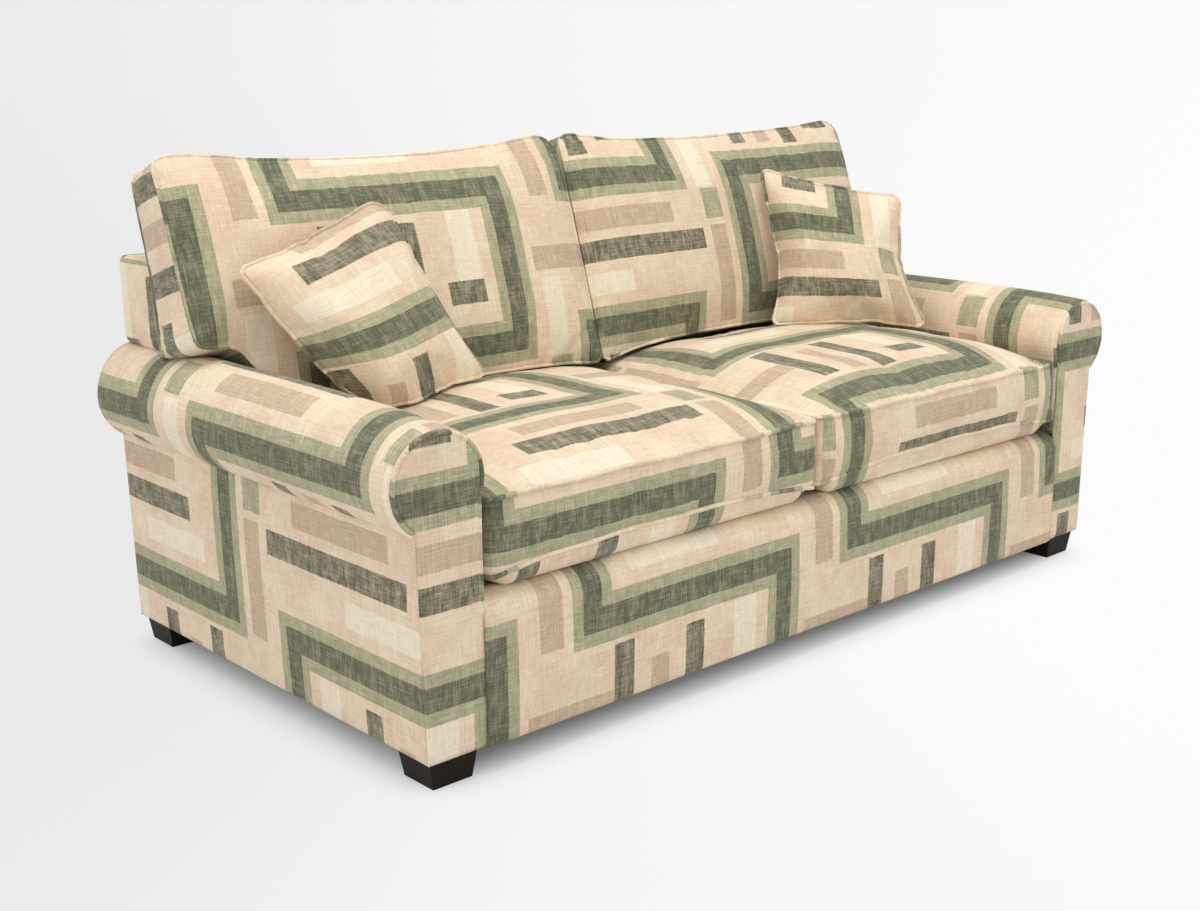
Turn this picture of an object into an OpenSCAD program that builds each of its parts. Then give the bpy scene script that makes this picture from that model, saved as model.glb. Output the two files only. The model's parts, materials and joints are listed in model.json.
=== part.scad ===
// Three-seater sofa with scroll arms, two seat cushions, two winged back cushions
// and two scatter cushions. Millimetres. X runs along the width, the front faces -Y
// and Z is up. The origin is at the bottom centre of the whole sofa.

/* [Overall] */
// Width across the outside arm panels at the hem
body_w = 1850; // [1500:10:2300]
// Depth from the front facings to the outside back
body_d = 976; // [900:2:1100]
// Height of the hem above the floor, which is the foot's visible height
hem_z = 50; // [40:1:120]
// Height of the platform that the seat cushions lie on
deck_z = 300; // [270:1:340]
// How far the seat cushions' fronts bulge past the facings
seat_overhang = 4; // [0:1:10]

/* [Arms] */
// Width of an arm's front post
post_w = 120; // [100:1:150]
// Radius of the rolled arm top over its fabric
roll_r = 88; // [70:1:100]
// Height of the roll's centre
roll_z = 502; // [470:1:540]
// How far the roll bulges past the arm's inner face
roll_in = 6; // [0:1:12]
// How far the outside arm leans out between hem and roll
side_lean = 7; // [0:1:15]
// Radius of the piping cord round each facing
pipe_r = 5.5; // [4:0.5:7]

/* [Back] */
// Height of the upholstered back frame
back_h = 756; // [700:2:800]
// Half width of the back frame above the arms, inside the body's half width
back_inset = 21; // [10:1:40]
// Lean of the inside back and the back cushions, in degrees
lean = 16; // [12:0.5:18]
// Depth of the back frame at its top
back_top_d = 143; // [120:1:170]
// Radius of the back frame's soft edges
back_edge_r = 22; // [12:1:30]

/* [Seat cushions] */
// Height of a seat cushion's top piping
seat_pipe_z = 460; // [430:1:490]
// Height of a seat cushion's bottom piping
seat_under_z = 338; // [320:1:360]
// Rise of the crown over the top piping
seat_crown = 60; // [30:1:75]
// Radius of a seat cushion's upright corners
seat_corner_r = 24; // [10:1:40]

/* [Back cushions] */
// Height of a back cushion's top piping at its outer corners
back_pipe_z = 960; // [900:1:1000]
// Thickness of a back cushion between its front and rear seams
back_t = 139; // [110:1:160]
// Rise of the front crown over the seam
back_crown = 28; // [10:1:45]
// Dip of the top edge between its raised corners
back_dip = 16; // [0:1:30]
// How far the wing reaches over the arm, past the arm's inner face
wing_w = 121; // [80:1:130]

/* [Scatter cushions] */
// Front swell of a scatter cushion at its middle
scatter_front = 62; // [40:1:80]
// Rear swell of a scatter cushion at its middle
scatter_rear = 44; // [30:1:60]
// Share by which the sides draw in between the corners
scatter_draw = 0.05; // [0:0.01:0.1]

/* [Frame] */
// Thickness of the frame's rails
rail_t = 22; // [18:1:26]
// Thickness of the lower side rails and the stiles
stile_t = 30; // [22:1:36]
// Thickness of the plywood facing boards
board_t = 18; // [12:1:22]
// Height of the plywood foot plates
plate_t = 12; // [9:1:18]
// Height of the arm's top rail
arm_rail_t = 22; // [18:1:28]
// Height of the lower side rails
side_rail_h = 130; // [90:1:180]
// Height of the rail behind the seat
rear_rail_h = 88; // [60:1:120]
// Height of the back frame's top rail
top_rail_h = 62; // [45:1:80]
// Leg of the triangular corner blocks
block_leg = 80; // [50:1:100]
// Height of the corner blocks
block_h = 60; // [40:1:90]
// Number of springs under each seat cushion
springs_per_seat = 4; // [3:1:5]
// Radius of the spring wire
wire_r = 1.8; // [1.5:0.1:2.2]
// Distance between a spring's cross bars
spring_pitch = 50; // [40:1:70]
// Width of a spring over its bends
spring_w = 66; // [60:1:80]
// Width of the back webbing
web_w = 50; // [40:1:60]
// Thickness of the back webbing
web_t = 2; // [1.5:0.5:3]

/* [Covers] */
// Thickness of the arm fabric with its wadding
cover_t = 6; // [4:0.5:8]
// Thickness of the padded facing and outside back panels
panel_t = 8; // [6:0.5:10]
// Thickness of the padding on the inside back
pad_t = 22; // [15:1:30]
// Radius of the soft front edge over the front rail
nose_r = 40; // [30:1:50]
// Thickness of the platform pad
deck_pad_t = 5; // [3:0.5:8]
// Thickness of the platform and dust cloths
cloth_t = 1.5; // [1:0.1:2]

/* [Feet] */
// Width of a foot at the floor
foot_w = 79; // [60:1:90]
// Extra width of a foot at its top
foot_flare = 14; // [10:1:40]
// Distance from the hem's faces to the foot's bottom edge
foot_inset = 17; // [15:1:30]
// Radius of the foot bolts
bolt_r = 4; // [3:0.5:5]
// Length of a foot bolt
bolt_l = 80; // [60:1:90]
// Depth of a foot bolt in its foot
bolt_sink = 34; // [20:1:40]

/* [Zips] */
// Height of a zip's recess
zip_gap = 14; // [12:1:18]
// Depth of a zip's recess
zip_depth = 8; // [7:0.5:10]
// Distance from a zip's ends to its cushion's ends
zip_end = 90; // [70:1:160]
// Length of a zip slider
slider_l = 12; // [10:1:16]
// Width of a zip's closed teeth
teeth_w = 5; // [4:0.5:6]

/* [Cores] */
// Distance of a seat cushion's foam core from its cover's outline
seat_core_edge = 60; // [40:1:80]
// Distance of a seat cushion's foam core from its piping, upwards and downwards
seat_core_sink = 10; // [5:1:20]
// Distance of a back cushion's core from its cover's outline
back_core_edge = 45; // [30:1:60]
// Distance of a back cushion's core from its front and rear seams
back_core_sink = 14; // [8:1:25]
// Thickness of a scatter cushion's cover and wrap at its middle
scatter_skin = 16; // [8:1:24]
// Size of a scatter cushion's pad, as a share of its cover
scatter_pad_share = 0.79; // [0.7:0.01:0.85]

/* [Hidden] */
// Gap between pieces that could rub
gap = 0.3;
// Smallest step by which a cutter passes a face
cut = 1;

// Body planes
half_w = body_w / 2;
front_y = -(body_d - seat_overhang) / 2;
rear_y = front_y + body_d;
post_in = half_w - post_w;
roll_x = post_in - roll_in + roll_r;
side_top_x = half_w + side_lean;
side_top_z = roll_z - sqrt(pow(roll_r, 2) - pow(side_top_x - roll_x, 2));

// Frame planes
frame_z = hem_z + plate_t;
clip_t = 1;
spring_z = deck_z - cloth_t - deck_pad_t - gap - wire_r;
rail_top = spring_z - wire_r - gap / 2 - clip_t;
board_y = front_y + panel_t;
front_rail_y = board_y + board_t;
back_panel_y = rear_y - panel_t;
back_rail_y = back_panel_y - rail_t;
core_r = roll_r - 2 * cover_t;
pipe_leg_x = post_in + pipe_r;
board_in = pipe_leg_x + pipe_r + gap;
board_out = half_w - cover_t;
side_rail_x = foot_x() - stile_t / 2;
stile_x = side_rail_x - stile_t;

// Inside back
tan_lean = tan(lean);
back_face_top = rear_y - back_top_d;
function back_face(z) = back_face_top - (back_h - z) * tan_lean;
function stile_front(z) = back_face(z) + (pad_t + 2 * web_t) / cos(lean);
rear_seat_y = stile_front(rail_top);
tuck_z = deck_z - cloth_t;
back_half = half_w - back_inset;
ear_z = roll_z + roll_r + gap;

// Back cushion planes: the cushion leans on the top of the back frame
back_front_y = back_face_top - gap - back_t / cos(lean) + (back_pipe_z - back_h) * tan_lean;
function cushion_face(z) = back_front_y - (back_pipe_z - z) * tan_lean;

// Seat cushion plan
seat_y0 = front_y;
seat_y1 = back_face(seat_under_z) - 2 * gap;
seat_x0 = 3;
seat_x1 = post_in - roll_in - 2;
seat_floor = deck_z + gap;
seat_hx = (seat_x1 - seat_x0) / 2;
seat_hy = (seat_y1 - seat_y0) / 2;
seat_cx = (seat_x0 + seat_x1) / 2;
seat_cy = (seat_y0 + seat_y1) / 2;
seat_power_x = 6;
seat_power_y = 6;
function seat_swell(u, v) =
    (1 - pow(min(1, abs(u)), seat_power_x)) * (1 - pow(min(1, abs(v)), seat_power_y));
function seat_top(x, y) = seat_pipe_z
    + seat_crown * seat_swell((x - seat_cx) / seat_hx, (y - seat_cy) / seat_hy);
seat_peak = seat_pipe_z + seat_crown;

// Where the back cushion's front seam meets the seat: the crown's height there, and a
// clearance that keeps the sloping underside off the crown
back_foot_z = seat_top(seat_cx, cushion_face(seat_peak)) + 3;
back_len = (back_pipe_z - back_foot_z) / cos(lean);
wing_b = (ear_z + back_t * sin(lean) + 2 - back_foot_z) / cos(lean);
back_x1 = post_in - roll_in - 2;

// Feet
function foot_x() = half_w - foot_inset - foot_w / 2;
foot_front_y = front_y + foot_inset + foot_w / 2;
foot_rear_y = rear_y - foot_inset - foot_w / 2;
foot_ys = [foot_front_y, foot_rear_y];
foot_plate_w = foot_w + 2 * (foot_inset - panel_t - gap);

// Colours
linen = [0.87, 0.77, 0.66];
timber = [0.80, 0.65, 0.45];
ply = [0.76, 0.62, 0.44];
steel = [0.62, 0.63, 0.65];
foam = [0.93, 0.90, 0.78];
platform_blue = [0.66, 0.69, 0.77];
espresso = [0.15, 0.11, 0.09];
black_cloth = [0.12, 0.12, 0.12];
fibre = [0.95, 0.95, 0.93];
webbing_brown = [0.45, 0.33, 0.24];

// Draws its children on the left, at side -1, or on the right, at side 1
module on_side(side) {
    mirror([side < 0 ? 1 : 0, 0, 0]) children();
}

// Extrudes an outline drawn in X and Z from y0 to y1
module along_y(y0, y1) {
    translate([0, y1, 0]) rotate([90, 0, 0]) linear_extrude(y1 - y0) children();
}

// Extrudes an outline drawn in Y and Z from x0 to x1
module along_x(x0, x1) {
    translate([x0, 0, 0]) rotate([90, 0, 90]) linear_extrude(x1 - x0) children();
}

// A box between two corners
module box(low, high) {
    translate(low) cube(high - low);
}

// A rectangle with round corners
module round_rect(low, high, r) {
    translate([low[0] + r, low[1]]) square([high[0] - low[0] - 2 * r, high[1] - low[1]]);
    translate([low[0], low[1] + r]) square([high[0] - low[0], high[1] - low[1] - 2 * r]);
    for (x = [low[0] + r, high[0] - r])
        for (y = [low[1] + r, high[1] - r])
            translate([x, y]) circle(r, $fn = 48);
}

// Frame

front_rail_half = side_rail_x + stile_t + rail_t;

module front_rail() {
    color(timber) box([-front_rail_half, front_rail_y, frame_z],
        [front_rail_half, front_rail_y + rail_t, rail_top]);
}

module back_rail() {
    color(timber) box([-stile_x, back_rail_y, frame_z], [stile_x, back_panel_y, rail_top]);
}

module side_rail(side) {
    color(timber) on_side(side) difference() {
        box([side_rail_x, front_rail_y + rail_t, frame_z],
            [side_rail_x + stile_t, back_panel_y, frame_z + side_rail_h]);
        foot_bores();
    }
}

// The plywood front of an arm, which the facing covers
module facing_board(side) {
    color(ply) on_side(side) along_y(board_y, front_rail_y) {
        translate([roll_x, roll_z]) circle(core_r, $fn = 64);
        translate([board_in, frame_z]) square([board_out - board_in, roll_z - frame_z]);
    }
}

arm_rail_x1 = board_out;
arm_rail_sink = 4;
arm_rail_top = roll_z - arm_rail_sink;

module arm_rail(side) {
    color(timber) on_side(side)
        box([side_rail_x, front_rail_y, arm_rail_top - arm_rail_t],
            [arm_rail_x1, back_panel_y, arm_rail_top]);
}

stile_top = back_h - pad_t;

// Outline of an upright of the back frame, in Y and Z
module stile_outline(z0, z1) {
    lower = z0 < rail_top ? [[rear_seat_y, z0]] : [];
    upper = [[back_panel_y, z0], [back_panel_y, z1], [stile_front(z1), z1]];
    polygon(concat([[rear_seat_y, rail_top]], lower, upper));
}

module back_stile(side) {
    color(timber) on_side(side)
        along_x(stile_x, side_rail_x) stile_outline(frame_z, stile_top);
}

module back_centre_stile() {
    color(timber) along_x(-stile_t / 2, stile_t / 2)
        stile_outline(rail_top, stile_top - top_rail_h);
}

module back_top_rail() {
    y = stile_front(stile_top);
    color(timber) box([-stile_x, y, stile_top - top_rail_h], [stile_x, y + rail_t, stile_top]);
}

module rear_seat_rail() {
    color(timber) box([-stile_x, rear_seat_y, rail_top - rear_rail_h],
        [stile_x, rear_seat_y + rail_t, rail_top]);
}

module seat_bearer() {
    color(timber) box([-stile_t / 2, front_rail_y + rail_t, frame_z],
        [stile_t / 2, back_rail_y, rail_top - rear_rail_h]);
}

// One triangular block with its square corner at the origin, towards -X and +Y
module corner_block() {
    linear_extrude(block_h) polygon([[0, 0], [-block_leg, 0], [0, block_leg]]);
}

module corner_blocks() {
    color(timber) for (side = [-1, 1]) on_side(side) {
        translate([side_rail_x, front_rail_y + rail_t, frame_z]) corner_block();
        translate([stile_x, back_rail_y, frame_z]) mirror([0, 1, 0]) corner_block();
    }
}

// Feet

bore_clearance = 0.05;
bolt_z0 = hem_z - bolt_sink;

// Cuts the four bolts' bores
module foot_bores() {
    for (side = [-1, 1])
        for (y = foot_ys)
            translate([side * foot_x(), y, bolt_z0])
                cylinder(h = bolt_l + cut, r = bolt_r + bore_clearance, $fn = 32);
}

module foot_bolts() {
    color(steel) for (side = [-1, 1])
        for (y = foot_ys)
            translate([side * foot_x(), y, bolt_z0]) cylinder(h = bolt_l, r = bolt_r, $fn = 32);
}

// Plywood plates that the feet bolt up against, under the rails
module foot_plates() {
    size = foot_plate_w;
    color(ply) difference() {
        for (side = [-1, 1])
            for (y = foot_ys)
                translate([side * foot_x() - size / 2, y - size / 2, hem_z])
                    cube([size, size, plate_t]);
        foot_bores();
    }
}

// A square tapered block, wider at the top
module foot(side, y) {
    w0 = foot_w / 2;
    w1 = (foot_w + foot_flare) / 2;
    color(espresso) difference() {
        translate([side * foot_x(), y, 0]) polyhedron(
            points = [
                [-w0, -w0, 0], [w0, -w0, 0], [w0, w0, 0], [-w0, w0, 0],
                [-w1, -w1, hem_z], [w1, -w1, hem_z], [w1, w1, hem_z], [-w1, w1, hem_z]
            ],
            faces = [
                [0, 1, 2, 3], [7, 6, 5, 4], [4, 5, 1, 0], [5, 6, 2, 1], [6, 7, 3, 2], [7, 4, 0, 3]
            ]
        );
        foot_bores();
    }
}

// Springs and webbing

spring_y0 = front_rail_y + rail_t / 2;
spring_y1 = rear_seat_y + rail_t / 2;
spring_bars = floor((spring_y1 - spring_y0) / spring_pitch / 2) * 2 + 1;
bar_pitch = (spring_y1 - spring_y0) / (spring_bars - 1);
bar_half = spring_w / 2 - bar_pitch / 2;
spring_margin = spring_w * 2 / 3;
spring_step = (stile_x - spring_margin) / springs_per_seat;
spring_xs = [
    for (side = [-1, 1])
        for (i = [0 : springs_per_seat - 1])
            side * spring_step * (i + 0.5)
];

// A zigzag spring along +Y from the origin: straight bars that run a little way into the
// half turns that join them
module zigzag_spring() {
    bar_end = bar_half + wire_r / 4;
    translate([0, 0, -wire_r]) linear_extrude(2 * wire_r) {
        for (i = [0 : spring_bars - 1])
            translate([-bar_end, i * bar_pitch - wire_r]) square([2 * bar_end, 2 * wire_r]);
        for (i = [0 : spring_bars - 2])
            translate([(i % 2 == 0 ? 1 : -1) * bar_half, (i + 0.5) * bar_pitch])
                half_turn(i % 2 == 0 ? 0 : -bar_pitch);
    }
}

// Half a ring between two bars, on the side that starts at x0
module half_turn(x0) {
    intersection() {
        difference() {
            circle(bar_pitch / 2 + wire_r, $fn = 32);
            circle(bar_pitch / 2 - wire_r, $fn = 32);
        }
        translate([x0, -bar_pitch]) square([bar_pitch, 2 * bar_pitch]);
    }
}

module seat_springs() {
    color(steel) for (x = spring_xs)
        translate([x, spring_y0, spring_z]) zigzag_spring();
}

clip_w = 2 * bar_half - 2 * wire_r;
clip_r = (wire_r + gap) * sqrt(2) + clip_t;

// A clip that holds a spring's end bar down on a rail
module spring_clip() {
    along_x(-clip_w / 2, clip_w / 2) difference() {
        union() {
            translate([-clip_w / 2, rail_top - spring_z]) square([clip_w, clip_t]);
            intersection() {
                circle(clip_r, $fn = 32);
                translate([-clip_r, rail_top - spring_z]) square(2 * clip_r);
            }
        }
        square(2 * wire_r + gap, center = true);
    }
}

module spring_clips() {
    color(steel) for (x = spring_xs)
        for (y = [spring_y0, spring_y1])
            translate([x, y, spring_z]) spring_clip();
}

// Places its children on the back frame's leaning front, with Y along the slope
module on_back_slope(offset) {
    translate([0, back_face(deck_z) + offset / cos(lean), deck_z])
        rotate([90 - lean, 0, 0]) children();
}

slope_len = (stile_top - deck_z) / cos(lean);
slope_start = (rail_top - deck_z) / cos(lean);
web_margin = 12;
level_webs = 3;
// The upright straps stand between the springs
web_xs = [
    for (side = [-1, 1])
        for (i = [1 : springs_per_seat])
            side * spring_step * i
];
web_bs = [for (i = [1 : level_webs]) slope_len * i / (level_webs + 1)];

// Upright straps, and level straps in front of them
module back_webbing() {
    color(webbing_brown) {
        on_back_slope(pad_t) {
            for (x = web_xs)
                translate([x - web_w / 2, slope_start, -2 * web_t])
                    cube([web_w, slope_len - slope_start - web_margin, web_t]);
            for (b = web_bs)
                translate([-side_rail_x, b - web_w / 2, -web_t])
                    cube([2 * side_rail_x, web_w, web_t]);
        }
    }
}

// Platform and underside

deck_y0 = front_y + 2 * nose_r + gap;
deck_y1 = back_face(tuck_z) - gap;
deck_half = post_in - gap;

module deck_pad() {
    color(fibre) box([-deck_half, deck_y0, deck_z - cloth_t - deck_pad_t],
        [deck_half, deck_y1, deck_z - cloth_t]);
}

module deck_cloth() {
    color(platform_blue) box([-deck_half, deck_y0, deck_z - cloth_t],
        [deck_half, deck_y1, deck_z]);
}

// The black cloth under the frame, cut out round the foot plates
module dust_cover() {
    x = side_rail_x + stile_t;
    cutout = max(foot_plate_w, foot_w + foot_flare) / 2 + gap;
    color(black_cloth) difference() {
        box([-x, front_rail_y + gap, frame_z - cloth_t], [x, back_panel_y - gap, frame_z]);
        for (side = [-1, 1])
            for (y = foot_ys)
                translate([side * foot_x() - cutout, y - cutout, frame_z - cloth_t - cut])
                    cube([2 * cutout, 2 * cutout, cloth_t + 2 * cut]);
    }
}

// The padded front over the front rail, with a soft nose on top
module front_cover() {
    color(linen) along_x(-post_in + gap, post_in - gap) difference() {
        union() {
            translate([front_y, hem_z])
                square([front_rail_y - front_y, deck_z - nose_r - hem_z]);
            translate([front_y + nose_r, deck_z - nose_r]) circle(nose_r, $fn = 64);
            translate([front_y + nose_r, deck_z - nose_r]) square([nose_r, nose_r]);
        }
        translate([front_rail_y, hem_z - cut])
            square([3 * nose_r, rail_top - hem_z + cut + spring_room]);
    }
}

// Room over the rail for the spring clips
spring_room = 2 * clip_r + 1;

// Arms

// Foam round the top and the outside of an arm's top rail
module arm_pad(side) {
    r = roll_r - cover_t - gap;
    color(foam) on_side(side) difference() {
        along_y(front_rail_y, back_panel_y - gap) difference() {
            translate([roll_x, roll_z]) circle(r, $fn = 64);
            translate([0, roll_z - 2 * roll_r])
                square([arm_rail_x1, arm_rail_top - roll_z + 2 * roll_r]);
        }
        back_room(ear_z);
    }
}

// Room for the back frame behind the padded inside back, up to height z
module back_room(z) {
    along_x(-side_rail_x - gap, side_rail_x + gap) polygon([
        [back_face(0) + pad_t / cos(lean), 0],
        [rear_y, 0],
        [rear_y, z],
        [back_face(z) + pad_t / cos(lean), z]
    ]);
}

// Fabric and wadding over the roll and down the arm's inner face
module arm_cover(side) {
    hollow_in = post_in + cover_t;
    hollow_out = side_top_x - cover_t;
    color(linen) on_side(side) difference() {
        along_y(front_y + 2 * pipe_r + gap, back_panel_y) difference() {
            union() {
                translate([roll_x, roll_z]) circle(roll_r, $fn = 96);
                translate([post_in, tuck_z]) square([cover_t, roll_z - tuck_z]);
            }
            translate([roll_x, roll_z]) circle(roll_r - cover_t, $fn = 96);
            translate([hollow_in, 0]) square([hollow_out - hollow_in, roll_z]);
        }
        back_room(ear_z);
    }
}

// The padded panel under the roll on the outside of an arm
module outside_arm(side) {
    color(linen) on_side(side) along_y(board_y, back_panel_y) difference() {
        polygon([
            [half_w - cover_t, hem_z],
            [half_w, hem_z],
            [side_top_x, side_top_z + cut],
            [side_top_x - cover_t, side_top_z + cut]
        ]);
        translate([roll_x, roll_z]) circle(roll_r + gap, $fn = 96);
    }
}

// Outline of an arm's front or rear, with a roll of the given radius
module arm_outline(r) {
    translate([roll_x, roll_z]) circle(r, $fn = 96);
    polygon([
        [post_in, hem_z],
        [half_w, hem_z],
        [side_top_x, side_top_z],
        [side_top_x - roll_in, roll_z],
        [post_in, roll_z]
    ]);
}

facing_r = roll_r - 2 * pipe_r - gap;

// The padded panel on an arm's front, inside its piping
module facing_cover(side) {
    color(linen) on_side(side) along_y(front_y, board_y) {
        translate([roll_x, roll_z]) circle(facing_r, $fn = 96);
        polygon([
            [board_in, hem_z],
            [half_w, hem_z],
            [side_top_x, side_top_z],
            [roll_x, roll_z],
            [board_in, roll_z]
        ]);
    }
}

pipe_ring_r = roll_r - pipe_r;
pipe_in_angle = acos((pipe_leg_x - roll_x) / pipe_ring_r);
pipe_out_room = 4;
pipe_out_angle = -asin((roll_z - side_top_z) / roll_r) + pipe_out_room;

// Piping round the roll of a facing, from the outside panel to the inner edge and down it
module facing_piping(side) {
    leg_top = roll_z - pipe_ring_r * sin(pipe_in_angle);
    y = front_y + pipe_r;
    color(linen) on_side(side) {
        translate([roll_x, y, roll_z]) rotate([90, 0, 0])
            rotate([0, 0, pipe_out_angle])
                rotate_extrude(angle = 360 - pipe_in_angle - pipe_out_angle, $fn = 96)
                    translate([pipe_ring_r, 0]) circle(pipe_r, $fn = 24);
        translate([pipe_leg_x, y, hem_z])
            cylinder(h = leg_top - hem_z, r = pipe_r, $fn = 24);
    }
}

// Back

// Outline of the padded back in Y and Z
module back_profile() {
    r = back_edge_r;
    top = back_h - r;
    hull() {
        translate([back_face(top) + r / cos(lean), top]) circle(r, $fn = 32);
        translate([back_panel_y - r, top]) circle(r, $fn = 32);
        translate([back_face(tuck_z), tuck_z]) square([1, 1]);
        translate([back_panel_y - 1, tuck_z]) square([1, 1]);
    }
}

module back_cover() {
    color(linen) difference() {
        intersection() {
            along_x(-back_half, back_half) back_profile();
            along_y(front_y, rear_y) {
                round_rect([-back_half, ear_z], [back_half, back_h], back_edge_r);
                translate([-post_in + gap + roll_in, tuck_z])
                    square([2 * (post_in - gap - roll_in), ear_z + pad_t - tuck_z]);
            }
        }
        back_room(stile_top + gap);
    }
}

module outside_back() {
    color(linen) along_y(back_panel_y, rear_y) {
        for (side = [-1, 1]) mirror([side < 0 ? 1 : 0, 0]) arm_outline(roll_r);
        translate([-post_in, hem_z]) square([2 * post_in, roll_z - hem_z]);
        round_rect([-back_half, roll_z], [back_half, back_h], back_edge_r);
    }
}

// Cushion forms

// Places that crowd towards both ends of -1 to 1
function crowded(n) = [for (i = [0 : n]) sin(90 * (2 * i / n - 1))];

// Smooth step from 0 at a to 1 at b
function ease(a, b, x) = let (t = min(1, max(0, (x - a) / (b - a)))) t * t * (3 - 2 * t);

// The closed loop of grid places round an nx by ny grid
function rim(nx, ny) = concat(
    [for (i = [0 : nx - 1]) [i, 0]],
    [for (j = [0 : ny - 1]) [nx, j]],
    [for (i = [nx : -1 : 1]) [i, ny]],
    [for (j = [ny : -1 : 1]) [0, j]]
);

// Triangles of a grid of (nx + 1) by (ny + 1) points that starts at index base
function grid_faces(nx, ny, base, flip) = [
    for (j = [0 : ny - 1])
        for (i = [0 : nx - 1])
            let (
                a = base + j * (nx + 1) + i,
                b = a + 1,
                c = a + nx + 2,
                d = a + nx + 1
            )
            each flip ? [[a, b, c], [a, c, d]] : [[a, c, b], [a, d, c]]
];

// Triangles between two loops of n indices
function band_faces(low, high) = [
    for (m = [0 : len(low) - 1])
        let (k = (m + 1) % len(low))
        each [[low[m], high[k], low[k]], [low[m], high[m], high[k]]]
];

// A closed soft block from its top and bottom grids, with side rows that bulge.
// Each grid is a list of rows of points, and rows is the list of [height share, bulge].
// Middle is the plan's centre.
module soft_block(top, bottom, middle, rows) {
    nx = len(top[0]) - 1;
    ny = len(top) - 1;
    count = (nx + 1) * (ny + 1);
    loop = rim(nx, ny);
    per = len(loop);
    sides = [
        for (row = rows)
            for (g = loop)
                let (
                    t = top[g[1]][g[0]],
                    b = bottom[g[1]][g[0]],
                    p = b + (t - b) * row[0],
                    out = [p[0] - middle[0], p[1] - middle[1]],
                    edge_x = g[0] == 0 || g[0] == nx ? 1 : 0,
                    edge_y = g[1] == 0 || g[1] == ny ? 1 : 0
                )
                p + row[1] * [sign(out[0]) * edge_x, sign(out[1]) * edge_y, 0]
    ];
    points = concat([for (r = bottom) each r], [for (r = top) each r], sides);
    loops = concat(
        [[for (g = loop) g[1] * (nx + 1) + g[0]]],
        [for (k = [0 : len(rows) - 1]) [for (m = [0 : per - 1]) 2 * count + k * per + m]],
        [[for (g = loop) count + g[1] * (nx + 1) + g[0]]]
    );
    faces = concat(
        grid_faces(nx, ny, 0, true),
        grid_faces(nx, ny, count, false),
        [for (k = [0 : len(loops) - 2]) each band_faces(loops[k], loops[k + 1])]
    );
    polyhedron(points = points, faces = faces, convexity = 4);
}

seat_us = crowded(12);
seat_vs = crowded(12);
seat_bulge = seat_overhang;

// How sharply the plan's corners turn, and how soon the underside reaches its full drop
corner_power = 10;
seat_drop_gain = 1.25;
// Heights of the side's rows, and their shares of its bulge
seat_side_rows = [[0.2, 0.65], [0.5, 1], [0.8, 0.65]];

// Plan of a seat cushion, with its upright corners drawn in
function seat_plan(u, v) = [
    seat_cx + u * (seat_hx - seat_bulge - seat_corner_r * pow(abs(v), corner_power)),
    seat_cy + v * (seat_hy - seat_corner_r * pow(abs(u), corner_power)
        - (v > 0 ? seat_bulge : 0))
];

// The right seat cushion's whole form
module seat_form() {
    drop = seat_under_z - seat_floor;
    top = [for (v = seat_vs) [for (u = seat_us)
        let (p = seat_plan(u, v))
        [p[0], p[1], seat_pipe_z + seat_crown * seat_swell(u, v)]]];
    bottom = [for (v = seat_vs) [for (u = seat_us)
        let (p = seat_plan(u, v))
        [p[0], p[1], max(seat_floor, seat_under_z - seat_drop_gain * drop * seat_swell(u, v))]]];
    soft_block(top, bottom, [seat_cx, seat_cy],
        [for (row = seat_side_rows) [row[0], row[1] * seat_bulge]]);
}

seat_zip_z = (seat_pipe_z + seat_under_z) / 2;
seat_core_low =
    [seat_x0 + seat_core_edge, seat_y0 + seat_core_edge, seat_under_z + seat_core_sink];
seat_core_high =
    [seat_x1 - seat_core_edge, seat_y1 - seat_core_edge, seat_pipe_z - seat_core_sink];
zip_floor_y = seat_y1 - zip_depth;

module seat_cover(side) {
    color(linen) on_side(side) difference() {
        seat_form();
        box(seat_core_low - [gap, gap, gap], seat_core_high + [gap, gap, gap]);
        box([seat_x0 + zip_end, zip_floor_y, seat_zip_z - zip_gap / 2],
            [seat_x1 - zip_end, seat_y1 + cut, seat_zip_z + zip_gap / 2]);
    }
}

module seat_core(side) {
    color(foam) on_side(side) box(seat_core_low, seat_core_high);
}

tape_t = 1;
teeth_t = 1.6;

// A zip of length l along +X, lying on the XY plane with its teeth up
module zip_strip(l) {
    translate([0, -zip_gap / 2 + gap, 0]) cube([l, zip_gap - 2 * gap, tape_t]);
    translate([0, -teeth_w / 2, tape_t]) cube([l, teeth_w, teeth_t]);
}

// A slider that straddles the teeth at the origin
module zip_slider() {
    z0 = tape_t + gap;
    z1 = tape_t + teeth_t + gap;
    top = 1.6;
    wall = 1.8;
    w = teeth_w + 2 * gap + 2 * wall;
    difference() {
        translate([0, -w / 2, z0]) cube([slider_l, w, z1 - z0 + top]);
        translate([-cut, -teeth_w / 2 - gap, z0 - cut])
            cube([slider_l + 2 * cut, teeth_w + 2 * gap, z1 - z0 + cut]);
    }
}

// Puts a zip drawn on the XY plane into a seat cushion's rear recess
module at_seat_zip() {
    translate([seat_x0 + zip_end + gap, zip_floor_y + gap, seat_zip_z])
        rotate([-90, 0, 0]) children();
}

seat_zip_l = seat_x1 - seat_x0 - 2 * zip_end - 2 * gap;

module seat_zip(side) {
    color(steel) on_side(side) at_seat_zip() zip_strip(seat_zip_l);
}

module seat_zip_slider(side) {
    color(steel) on_side(side) at_seat_zip() translate([gap, 0, 0]) zip_slider();
}

// Back cushions

back_us = crowded(12);
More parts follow.
